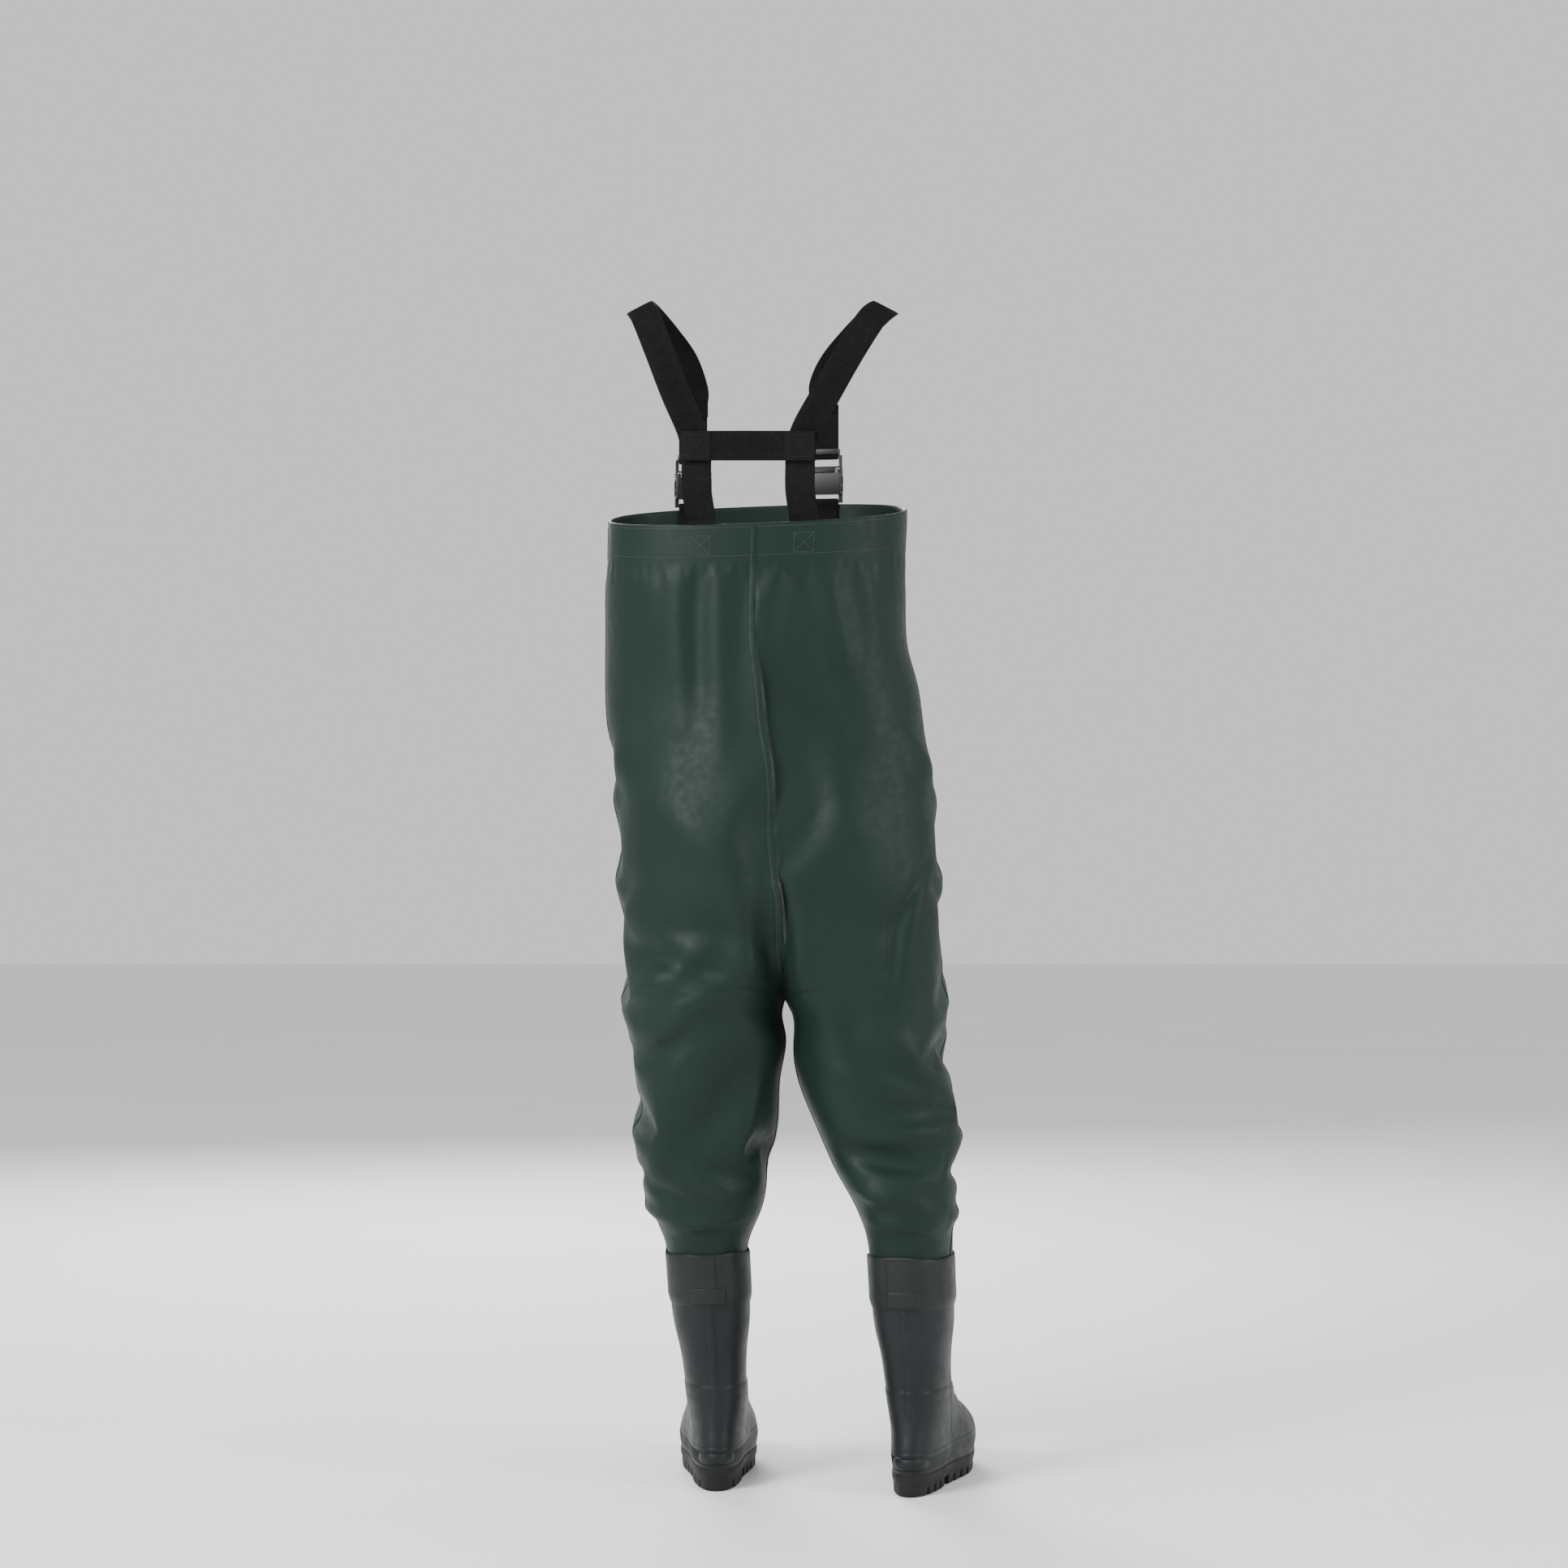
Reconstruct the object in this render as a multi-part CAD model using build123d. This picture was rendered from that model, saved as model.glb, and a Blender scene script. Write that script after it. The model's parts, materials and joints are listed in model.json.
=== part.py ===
from build123d import *
import math
import os

# Chest waders with an H-back harness and moulded boots, in millimetres.
# +Z is up, the wearer faces -Y, and +X is the wearer's left.

# ---- driving dimensions -------------------------------------------------------------------------
ROUNDNESS = 2.4          # exponent of the superellipse that every body section follows
FABRIC = 2.4             # coated fabric with its folds, as a wall
SEAM_GAP = 0.25          # each panel stands back from a seam by this much
LAYER_GAP = 0.35         # between two layers that lie on each other
WEBBING_WIDTH = 38
WEBBING = 1.6            # thickness of plain webbing
ELASTIC = 2.2            # thickness of ribbed elastic
TAPE = 0.6
TAPE_WIDTH = 22
FACING = 1.0
FACING_INSET = 8.8       # the facing clears the strap ends inside the hem
HEM_DEPTH = 45
HEM_BOTTOM = 1228
CROTCH = 660
SEAT_TOP = 880           # where the trunk starts to divide into legs
TAPE_BOTTOM = 330
PANEL_STEP = 26
BOOT_STEP = 12
HEM_SLOPE_X = -0.038     # the top edge falls towards the wearer's left
HEM_SLOPE_Y = -0.149     # and towards the back
PANEL_POINTS = 15

# The garment above the crotch: height, left edge, right edge, front, back, how far each leg has
# closed into a loop of its own (0 to 1), and how much of the hem's slope the height takes.
BODY = [
    (1273, 230, -161, -150, 130, 0.00, 1.00),
    (1225, 231, -159, -151, 129, 0.00, 0.85),
    (1170, 231, -157, -154, 126, 0.00, 0.62),
    (1110, 231, -158, -158, 123, 0.00, 0.40),
    (1050, 232, -174, -160, 122, 0.00, 0.20),
    (1000, 230, -182, -158, 127, 0.00, 0.08),
    (950, 223, -193, -152, 137, 0.00, 0.00),
    (870, 217, -199, -142, 149, 0.00, 0.00),
    (790, 215, -206, -136, 146, 0.35, 0.00),
    (725, 212, -209, -130, 136, 0.72, 0.00),
    (688, 211, -211, -126, 129, 0.92, 0.00),
    (660, 211, -212, -122, 124, 1.00, 0.00),
]
# Each leg below the crotch: height, outer edge, inner edge, front, back.
LEG = {}
LEG["left"] = [
    (600, 207, 3, -117, 112),
    (540, 199, 16, -112, 100),
    (480, 194, 16, -105, 92),
    (420, 190, 20, -98, 84),
    (370, 177, 28, -90, 72),
]
LEG["right"] = [
    (600, -214, -19, -110, 118),
    (540, -217, -29, -100, 112),
    (480, -226, -50, -88, 110),
    (420, -225, -71, -74, 112),
    (370, -223, -95, -58, 108),
]

# Boots: where the back of each heel stands, how far the toes turn out, and how far the top of
# the shaft leans towards +X.
HEEL_PLACE = {"left": (88, 46), "right": (-160, 88)}
TOE_OUT = {"left": 0, "right": 12.5}
SHAFT_LEAN = {"left": 13, "right": 9}
LEAN_BOTTOM = 100
SHAFT_TOP = 306
CUFF_BOTTOM = 240
BOOT_WALL = 3.5
SOLE_HEIGHT = 28
BOOT_SECTION_POINTS = 20
LINING = 1.5
LINING_BOTTOM = 46
INSOLE = 4
INSOLE_GAP = 2           # between the insole and the upper, all round
CUFF = 2.6
PATCH = 1.4
PATCH_HALF_WIDTH = 23
# Boot upper: height, rear, front, half width at the heel, half width at the ball of the foot.
BOOT = [
    (SOLE_HEIGHT, 3, 300, 34, 50),
    (45, 1, 304, 37, 52),
    (62, 3, 298, 38, 50),
    (78, 7, 268, 38, 46),
    (95, 10, 222, 39, 42),
    (115, 12, 178, 40, 40),
    (140, 12, 152, 41, 41),
    (175, 9, 142, 44, 44),
    (215, 5, 137, 48.5, 48.5),
    (260, 3, 137, 50.0, 50.0),
    (SHAFT_TOP, 3, 137, 50.5, 50.5),
]

# Outsole, as a row of the same kind, and the cuts across its underside: from, to, height.
SOLE_ROW = (0, 1, 303, 36, 51)
SOLE_CUTS = [(82, 104, 12)] + [(24 + 20 * i, 29 + 20 * i, 4) for i in range(2)] + [
    (126 + 24 * i, 132 + 24 * i, 4) for i in range(7)
]

# Harness: a shoulder strap's distance from the harness's middle line, the middle line's X, the Y
# and Z of the strap, its roll, and how far its face leans from up towards the back.
SHOULDER_FOOT = (82, 101, 120)   # its straight front end, above the buckle's meeting plane
SHOULDER_ROUTE = [
    (102, 33, -116, 1489, 8, -62),
    (126, 31, -90, 1518, 18, -38),
    (150, 29, -40, 1540, 25, -14),
    (161, 28, 20, 1543, 27, 12),
    (147, 32, 76, 1524, 22, 34),
    (124, 37, 117, 1478, 14, 60),
    (97, 42, 141, 1420, 6, 76),
    (72, 45, 150.4, 1368, 1, 88),
    (66, 45.5, 151.0, 1334, 0, 90),
]
SHOULDER_BEHIND = 6.8     # local depth of the strap's front end, behind the front webbing
CROSS_HEIGHT = 1350
CROSS_MIDDLE = 45.5
CROSS_SPACING = 66
CROSS_BACK = 153.6
CROSS_BOW = 1.5
CROSS_HALF_LENGTH = 86
BACK_RISE = [(139, 1296), (146.5, 1330), (148.4, 1366)]
BUCKLE_SPACING = 90       # from the harness's middle line to each front buckle
BACK_SPACING = 66.5       # the same at the back hem
BACK_MIDDLE = 40.5
FRONT_MIDDLE = 34
TAB_SETBACK = 5.6         # middle of the bib tabs, behind the panels' outer face
BACK_SETBACK = 5.7        # middle of the back webbing, the same

# Side-release buckle, in its own frame: X across, -Y outward, Z = 0 where the halves meet.
# A pair gives a range of heights.
HEM_TO_BUCKLE = 44
FEMALE_HALF_WIDTH = 25
FEMALE_HALF_DEPTH = 6
FEMALE_HEIGHT = 29
FEMALE_CORNER = 2.5
CAVITY_HALF_WIDTH = 22
CAVITY_HALF_DEPTH = 4.2
CAVITY_DEPTH = 27
WINDOW = (-25, -5)           # in the female half's sides, where the prongs spring out
FEMALE_FRAME = (-40, -28.5)
FEMALE_SLOT = (-36, -29)     # leaves the bar that the bib tab goes round
FEMALE_BAR_HALF_DEPTH = 2
SLOT_HALF_WIDTH = 20
MALE_HALF_WIDTH = 24.5
MALE_HALF_DEPTH = 5
MALE_BASE = (0.3, 9)
MALE_CORNER = 1.2
PRONG_RECESS = (15.0, 22.5)  # across, on each side of the male half's base
RECESS_HEIGHT = 7
MALE_FRAME = (8, 24)
MALE_SLOT = (9, 20)          # leaves the bar that the front webbing goes round
MALE_BAR_HALF_DEPTH = 1.5
TONGUE = (-20, 1)
TONGUE_HALF_WIDTH = 4
TONGUE_HALF_DEPTH = 3
# The left prong from the front, as points across and up.
PRONG_OUTLINE = [
    (17.5, 4), (21.6, 4), (21.6, -5), (22.4, -10.3), (24.2, -15.5), (24.2, -18),
    (20.5, -23), (18.5, -23), (17.5, -21),
]
PRONG_HALF_DEPTH = 3.4
PRONG_PIVOT = (19.5, 4)
PIVOT_RADIUS = 2.05
KEEPER = (24.5, 32.5)
KEEPER_WALL = 1.5
STRAP_END = 117              # length of the front webbing's back layer above the meeting plane
TAIL_END = 92                # and of its front layer, the free tail
TAB_BEND = (-42.2, -33.8)    # the bib tab round the female half's bar
TAB_TAIL = 42                # its length below the hem

# Chest pocket on the front.
POCKET_HALF_WIDTH = 95
POCKET_TOP = 1165
POCKET_BOTTOM = 1000
POCKET_DEPTH = 15
POCKET_STEP = 16
FLAP_LENGTH = 62
FLAP_HALF_WIDTH = 98
FLAP = 2.6
STRIP = 1.2
STRIP_HALF_WIDTH = 70

SIDES = {"left": 1, "right": -1}


# ---- sections of the garment --------------------------------------------------------------------
def superellipse(a, b, angle):
    """Point of a superellipse at a parameter angle."""
    power = 2 / ROUNDNESS
    c, s = math.cos(angle), math.sin(angle)
    return (
        math.copysign(a * abs(c) ** power, c),
        math.copysign(b * abs(s) ** power, s),
    )


class Loop:
    """Level section of one half of the garment: a superellipse, open towards the middle seam."""

    def __init__(self, side, z, outer, inner, front, back, close=1.0, slope=0.0, yaw=0.0):
        self.sign, self.z = SIDES[side], z
        self.slope, self.yaw = slope, math.radians(yaw)
        width = abs(outer - inner)
        inset = min(1.0, max(0.0, close)) * width / 2
        self.a, self.b = width - inset, (back - front) / 2
        self.middle = (inner + self.sign * inset, (front + back) / 2)
        self.start = math.acos(-((inset / self.a) ** (ROUNDNESS / 2)))

    def point(self, angle, out=0.0):
        """Point at an angle from the outer side, moved outward along the section's normal."""
        step = 1e-4
        x, y = superellipse(self.a, self.b, angle)
        x1, y1 = superellipse(self.a, self.b, angle - step)
        x2, y2 = superellipse(self.a, self.b, angle + step)
        length = math.hypot(x2 - x1, y2 - y1)
        x, y = self.sign * (x + out * (y2 - y1) / length), y - out * (x2 - x1) / length
        c, s = math.cos(self.yaw), math.sin(self.yaw)
        x, y = self.middle[0] + x * c - y * s, self.middle[1] + x * s + y * c
        return Vector(x, y, self.z + self.slope * (HEM_SLOPE_X * x + HEM_SLOPE_Y * y))

    def arc(self, first, last, out, count=PANEL_POINTS):
        return [self.point(first + (last - first) * i / (count - 1), out) for i in range(count)]


def shaft_row(side, z, out):
    """Row of a section that follows a boot's shaft at a distance."""
    _, rear, front, half, _ = BOOT[-1]
    x, y = boot_point(side, (rear + front) / 2, 0)
    x += lean(side, z)
    across, along = SIDES[side] * (half + out), (front - rear) / 2 + out
    return (z, x + across, x - across, y - along, y + along, 1, 0, -TOE_OUT[side])


def garment_rows(side):
    """All rows of one side, from the hem to inside the boot's cuff."""
    rows = []
    for z, left, right, front, back, close, slope in BODY:
        outer = left if side == "left" else right
        rows.append((z, outer, (left + right) / 2, front, back, close, slope, 0))
    for z, outer, inner, front, back in LEG[side]:
        rows.append((z, outer, inner, front, back, 1, 0, 0))
    cloth = LAYER_GAP + FABRIC
    for z in (SHAFT_TOP + 8, SHAFT_TOP - 4, CUFF_BOTTOM + 10):
        rows.append(shaft_row(side, z, cloth))
    return rows


def smooth_row(rows, z):
    """Row at any height, on a smooth curve through the given rows (Catmull-Rom)."""
    last = len(rows) - 1
    i = next((k for k in range(last) if rows[k + 1][0] <= z), last - 1)
    t = (rows[i][0] - z) / (rows[i][0] - rows[i + 1][0])
    four = [rows[min(max(k, 0), last)] for k in (i - 1, i, i + 1, i + 2)]
    values = []
    for p0, p1, p2, p3 in zip(*four):
        bend = 2 * p0 - 5 * p1 + 4 * p2 - p3
        values.append(0.5 * (2 * p1 + t * (p2 - p0 + t * (bend + t * (3 * p1 - p0 - 3 * p2 + p3)))))
    return (z, *values[1:])


def loop_at(side, z):
    return Loop(side, *smooth_row(garment_rows(side), z))


def heights(top, bottom, step=PANEL_STEP):
    """Heights from the top down to the bottom, in even steps near the given one."""
    count = max(1, round((top - bottom) / step))
    return [top - (top - bottom) * i / count for i in range(count + 1)]


def crescent(outer, inner):
    """Flat face between an outer and an inner curve with straight ends."""
    edges = [
        Spline(*outer),
        Line(outer[-1], inner[-1]),
        Spline(*inner[::-1]),
        Line(inner[0], outer[0]),
    ]
    return Face(Wire(edges))


def skin(loops, first, last, out, thickness, count=PANEL_POINTS):
    """Curved wall through the loops; first and last give its end angles on each loop."""
    faces = []
    for loop in loops:
        outer = loop.arc(first(loop), last(loop), out, count)
        inner = loop.arc(first(loop), last(loop), out - thickness, count)
        faces.append(crescent(outer, inner))
    return loft(faces, ruled=True)


def strip_along(loops, middle, half_width, out, thickness, count=7):
    """Part of a wall within a half width of an angle: 0 or pi is a side, pi/2 the back."""
    on_side = abs(math.sin(middle)) < 0.5

    def reach(loop):
        spread = (half_width / (loop.b if on_side else loop.a)) ** (ROUNDNESS / 2)
        return math.asin(spread)

    return skin(
        loops, lambda lp: middle - reach(lp), lambda lp: middle + reach(lp), out, thickness, count
    )


def angle_at_width(loop, x):
    """Angle of the back point at a distance x from the loop's middle line."""
    return math.acos((x / loop.a) ** (ROUNDNESS / 2))


def whole(loop, out, count=28):
    points = [loop.point(2 * math.pi * i / count, out) for i in range(count)]
    return Face(Wire([Spline(*points, periodic=True)]))


def band(loops, out, thickness):
    """Closed band through whole loops."""
    body = loft([whole(loop, out) for loop in loops], ruled=True)
    return body - loft([whole(loop, out - thickness) for loop in loops], ruled=True)


# ---- garment ------------------------------------------------------------------------------------
def make_panels(pieces):
    rim, tuck, end = BODY[0][0], SHAFT_TOP + 8, CUFF_BOTTOM + 10
    levels = heights(rim, tuck)[:-1] + heights(tuck, end)
    for side, sign in SIDES.items():
        loops = [loop_at(side, z) for z in levels]
        front = skin(loops, lambda lp: -lp.start, lambda lp: 0, 0, FABRIC)
        back = skin(loops, lambda lp: 0, lambda lp: lp.start, 0, FABRIC)
        pieces[f"front_{side}_panel"] = Pos(sign * SEAM_GAP, -SEAM_GAP, 0) * front
        pieces[f"back_{side}_panel"] = Pos(sign * SEAM_GAP, SEAM_GAP, 0) * back


def make_tapes(pieces):
    """Welded tapes inside the outseams, the inseams and the middle seams of the trunk."""
    inside = -FABRIC - SEAM_GAP - LAYER_GAP
    half = TAPE_WIDTH / 2
    for side in SIDES:
        outseam = [loop_at(side, z) for z in heights(HEM_BOTTOM, TAPE_BOTTOM)]
        inseam = [loop_at(side, z) for z in heights(CROTCH - 10, TAPE_BOTTOM)]
        pieces[f"{side}_outseam_tape"] = strip_along(outseam, 0, half, inside, TAPE)
        pieces[f"{side}_inseam_tape"] = strip_along(inseam, math.pi, half, inside, TAPE)
    trunk = [loop_at("left", z) for z in heights(HEM_BOTTOM, SEAT_TOP)]
    for name, middle in (("front", -math.pi / 2), ("back", math.pi / 2)):
        pieces[f"{name}_seam_tape"] = strip_along(trunk, middle, half, inside, TAPE)


def make_hem_facing(pieces):
    """Turned-in layer of the top hem, behind the strap ends."""
    loops = [loop_at("left", z) for z in heights(BODY[0][0], HEM_BOTTOM + 5)]
    pieces["hem_facing"] = band(loops, -FACING_INSET, FACING)


# ---- chest pocket -------------------------------------------------------------------------------
def front_strip(top, bottom, half_width, out, thickness):
    loops = [loop_at("left", z) for z in heights(top, bottom, POCKET_STEP)]
    return strip_along(loops, -math.pi / 2, half_width, out, thickness, 11)


def make_pocket(pieces):
    """Patch pocket, open at the top, and the two strips that hold its flap."""
    face = SEAM_GAP + LAYER_GAP + POCKET_DEPTH
    shell = front_strip(POCKET_TOP, POCKET_BOTTOM, POCKET_HALF_WIDTH, face, POCKET_DEPTH)
    shell -= front_strip(
        POCKET_TOP + 6, POCKET_BOTTOM + FABRIC, POCKET_HALF_WIDTH - FABRIC,
        face - FABRIC, POCKET_DEPTH - 2 * FABRIC,
    )
    pieces["chest_pocket"] = shell
    top, bottom = POCKET_TOP - 25, POCKET_TOP - 50
    loop_face = face + LAYER_GAP + STRIP
    hook_face = loop_face + LAYER_GAP + STRIP
    flap_face = hook_face + LAYER_GAP + FLAP
    half = STRIP_HALF_WIDTH
    pieces["pocket_loop_strip"] = front_strip(top, bottom, half, loop_face, STRIP)
    pieces["flap_hook_strip"] = front_strip(top, bottom, half, hook_face, STRIP)
    pieces["pocket_flap"] = front_strip(
        POCKET_TOP + 4, POCKET_TOP + 4 - FLAP_LENGTH, FLAP_HALF_WIDTH, flap_face, FLAP
    )


# ---- boots --------------------------------------------------------------------------------------
def boot_point(side, forward, across):
    """Plan position of a point measured forward of a heel's back and to the wearer's left."""
    turn = math.radians(TOE_OUT[side])
    heel_x, heel_y = HEEL_PLACE[side]
    x = heel_x + across * math.cos(turn) - forward * math.sin(turn)
    y = heel_y - forward * math.cos(turn) - across * math.sin(turn)
    return x, y


def lean(side, z):
    """Shift of a boot's shaft at a height."""
    return SHAFT_LEAN[side] * max(0.0, (z - LEAN_BOTTOM) / (SHAFT_TOP - LEAN_BOTTOM))


def half_width_at(forward, heel_half, ball_half):
    """Half width of a foot, easing from the heel to the ball."""
    t = min(1, max(0, (forward - 90) / 110))
    ease = t * t * (3 - 2 * t)
    return heel_half + (ball_half - heel_half) * ease


def boot_outline(side, z, row, out):
    """Closed foot outline at a height, moved outward all round."""
    _, rear, front, heel_half, ball_half = row
    centre, reach = (rear + front) / 2, (front - rear) / 2 + out
    points = []
    for i in range(BOOT_SECTION_POINTS):
        along, across = superellipse(reach, 1, 2 * math.pi * i / BOOT_SECTION_POINTS)
        width = half_width_at(centre + along, heel_half, ball_half) + out
        x, y = boot_point(side, centre + along, across * width)
        points.append(Vector(x + lean(side, z), y, z))
    return Face(Wire([Spline(*points, periodic=True)]))


def boot_solid(side, bottom, top, out=0.0, drop=0.0):
    """Solid foot and shaft between two heights; drop lowers the shape to thicken its roof."""
    rows = BOOT[::-1]
    faces = []
    for z in heights(top, bottom, BOOT_STEP):
        row = smooth_row(rows, min(max(z + drop, SOLE_HEIGHT), SHAFT_TOP))
        faces.append(boot_outline(side, z, row, out))
    return loft(faces, ruled=True)


def make_boot(pieces, side):
    floor = SOLE_HEIGHT + BOOT_WALL
    upper = boot_solid(side, SOLE_HEIGHT, SHAFT_TOP)
    cavity = boot_solid(side, floor, SHAFT_TOP + 10, -BOOT_WALL, BOOT_WALL)
    pieces[f"{side}_boot_upper"] = upper - cavity

    lining_out = -BOOT_WALL - 2 * LAYER_GAP
    lining_drop = BOOT_WALL + 2 * LAYER_GAP
    lining = boot_solid(side, LINING_BOTTOM, SHAFT_TOP - 3, lining_out, lining_drop)
    pieces[f"{side}_boot_lining"] = lining - boot_solid(
        side, LINING_BOTTOM - 5, SHAFT_TOP, lining_out - LINING, lining_drop + LINING
    )

    insole = boot_outline(side, floor + LAYER_GAP, BOOT[0], -BOOT_WALL - INSOLE_GAP)
    pieces[f"{side}_insole"] = extrude(insole, amount=INSOLE, dir=(0, 0, 1))
    pieces[f"{side}_outsole"] = outsole(side)

    cuff_out = FABRIC + 3 * LAYER_GAP
    loops = [Loop(side, *shaft_row(side, z, cuff_out)) for z in heights(SHAFT_TOP + 4, CUFF_BOTTOM)]
    pieces[f"{side}_cuff_band"] = band(loops, CUFF, CUFF)
    loops = [Loop(side, *shaft_row(side, z, cuff_out)) for z in (CUFF_BOTTOM + 20, CUFF_BOTTOM)]
    patch_out = CUFF + LAYER_GAP + PATCH
    pieces[f"{side}_cuff_patch"] = strip_along(
        loops, math.pi / 2, PATCH_HALF_WIDTH, patch_out, PATCH
    )


def outsole(side):
    """Sole with a raised shank, and grooves across the heel and the forefoot."""
    base = boot_outline(side, 0, SOLE_ROW, 0)
    sole = extrude(base, amount=SOLE_HEIGHT - LAYER_GAP, dir=(0, 0, 1))
    for start, end, height in SOLE_CUTS:
        x, y = boot_point(side, (start + end) / 2, 0)
        cut = Box(160, end - start, 2 * height)
        sole -= Location((x, y, 0), (0, 0, -TOE_OUT[side])) * cut
    return sole


# ---- harness ------------------------------------------------------------------------------------
def ribbon(points, normals, width, thickness, step=18):
    """Strap along a smooth curve through the points, with its rough outer normal at each."""
    route = Spline(*points)
    count = max(2, round(route.length / step))
    marks = [route.param_at_point(point) for point in points]
    faces = []
    for i in range(count + 1):
        t = i / count
        point, along = route @ t, route % t
        across = blended(normals, marks, t).cross(along).normalized()
        normal = along.cross(across).normalized()
        w, n = across * (width / 2), normal * (thickness / 2)
        corners = [point + w + n, point - w + n, point - w - n, point + w - n]
        faces.append(Face(Wire(Polyline(*corners, close=True).edges())))
    return loft(faces, ruled=True)


def blended(vectors, marks, t):
    """Vector at t, between the two marks on either side of it."""
    for i in range(len(marks) - 1):
        if t <= marks[i + 1] or i == len(marks) - 2:
            f = (t - marks[i]) / (marks[i + 1] - marks[i])
            return vectors[i] * (1 - f) + vectors[i + 1] * f


def surface_frame(side, x, angle_sign, setback):
    """Point, outer normal and yaw on the hem at a given X; -1 is the front, 1 the back."""
    loop = loop_at(side, BODY[0][0])
    angle = angle_sign * angle_at_width(loop, abs(x - loop.middle[0]))
    point = loop.point(angle, -setback)
    normal = loop.point(angle, 1) - loop.point(angle, 0)
    normal = Vector(normal.X, normal.Y, 0).normalized()
    return point, normal


def buckle_place(side):
    """Frame of a buckle, where its halves meet above the bib's hem; local -Y is outward."""
    x = FRONT_MIDDLE + SIDES[side] * BUCKLE_SPACING
    point, normal = surface_frame(side, x, -1, TAB_SETBACK)
    yaw = math.degrees(math.atan2(normal.X, -normal.Y))
    return Location((point.X, point.Y, point.Z + HEM_TO_BUCKLE), (0, 0, yaw))


def local_point(place, x, y, z):
    return (place * Location((x, y, z))).position


def make_shoulder_strap(side):
    """Elastic strap from behind the front webbing, over the shoulder, to the back cross."""
    sign = SIDES[side]
    place = buckle_place(side)
    outward = local_point(place, 0, -1, 0) - place.position
    points = [local_point(place, 0, SHOULDER_BEHIND, z) for z in SHOULDER_FOOT]
    normals = [outward] * len(points)
    for spread, middle, y, z, roll, facing in SHOULDER_ROUTE:
        points.append(Vector(middle + sign * spread, y, z))
        roll, facing = math.radians(roll), math.radians(facing)
        level = math.cos(roll)
        normals.append(
            Vector(sign * math.sin(roll), level * math.sin(facing), level * math.cos(facing))
        )
    return ribbon(points, normals, WEBBING_WIDTH, ELASTIC)


def make_back_webbing(side):
    """Plain webbing from inside the back hem up to the cross."""
    sign = SIDES[side]
    x = BACK_MIDDLE + sign * BACK_SPACING
    hem, normal = surface_frame(side, x, 1, BACK_SETBACK)
    points = [hem + Vector(0, 0, rise) for rise in (6 - HEM_DEPTH, 0, 8)]
    normals = [normal] * 3
    x = CROSS_MIDDLE + sign * CROSS_SPACING
    for y, z in BACK_RISE:
        points.append(Vector(x, y, z))
        normals.append(Vector(0, 1, 0))
    return ribbon(points, normals, WEBBING_WIDTH, WEBBING)


def make_harness(pieces):
    for side in SIDES:
        pieces[f"{side}_shoulder_strap"] = make_shoulder_strap(side)
        pieces[f"{side}_back_webbing"] = make_back_webbing(side)
    middle = Vector(CROSS_MIDDLE, CROSS_BACK + CROSS_BOW, CROSS_HEIGHT)
    ends = [middle + Vector(s * CROSS_HALF_LENGTH, -CROSS_BOW, 0) for s in (-1, 1)]
    pieces["cross_strap"] = ribbon(
        [ends[0], middle, ends[1]], [Vector(0, 1, 0)] * 3, WEBBING_WIDTH, ELASTIC
    )


# ---- buckles ------------------------------------------------------------------------------------
def box_between(x, y, z):
    """Box from ranges of x, y and z."""
    size = [r[1] - r[0] for r in (x, y, z)]
    centre = [(r[1] + r[0]) / 2 for r in (x, y, z)]
    return Pos(*centre) * Box(*size)


def centred(half):
    return (-half, half)


def female_half():
    wide = centred(FEMALE_HALF_WIDTH)
    body = box_between(wide, centred(FEMALE_HALF_DEPTH), (-FEMALE_HEIGHT, 0))
    body = fillet(body.edges().filter_by(Axis.Z), FEMALE_CORNER)
    hollow_depth = centred(CAVITY_HALF_DEPTH)
    body -= box_between(centred(CAVITY_HALF_WIDTH), hollow_depth, (-CAVITY_DEPTH, 1))
    body -= box_between(centred(FEMALE_HALF_WIDTH + 1), hollow_depth, WINDOW)
    bar = centred(FEMALE_BAR_HALF_DEPTH)
    frame = box_between(wide, bar, FEMALE_FRAME)
    return body + (frame - box_between(centred(SLOT_HALF_WIDTH), bar, FEMALE_SLOT))


def male_half():
    wide, deep = centred(MALE_HALF_WIDTH), centred(MALE_HALF_DEPTH)
    base = box_between(wide, deep, MALE_BASE)
    base = fillet(base.edges().filter_by(Axis.X), MALE_CORNER)
    inner, outer = PRONG_RECESS
    for across in ((inner, outer), (-outer, -inner)):
        base -= box_between(across, deep, (0, RECESS_HEIGHT))
    bar = centred(MALE_BAR_HALF_DEPTH)
    frame = box_between(wide, bar, MALE_FRAME)
    frame -= box_between(centred(SLOT_HALF_WIDTH), bar, MALE_SLOT)
    return base + frame + box_between(centred(TONGUE_HALF_WIDTH), centred(TONGUE_HALF_DEPTH), TONGUE)


def prong(sign):
    """Sprung arm of the male half, with the bulge that the wearer presses."""
    corners = [(sign * x, z) for x, z in PRONG_OUTLINE]
    face = Plane.XZ * make_face(Polyline(*corners, close=True).edges())
    arm = extrude(face, amount=PRONG_HALF_DEPTH, both=True)
    pivot = Rot(90, 0, 0) * Cylinder(PIVOT_RADIUS, 2 * PRONG_HALF_DEPTH)
    return arm + Pos(sign * PRONG_PIVOT[0], 0, PRONG_PIVOT[1]) * pivot


def front_webbing():
    """Webbing round the male half's bar, with a free tail in front and the strap end behind."""
    width = centred(WEBBING_WIDTH / 2)
    inner = MALE_BAR_HALF_DEPTH + LAYER_GAP
    outer = inner + WEBBING
    bend = MALE_SLOT[1] - LAYER_GAP
    bottom = bend - WEBBING
    layers = box_between(width, (-outer, -inner), (bottom, TAIL_END))
    layers += box_between(width, (inner, outer), (bottom, STRAP_END))
    return layers + box_between(width, centred(outer), (bottom, bend))


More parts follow.
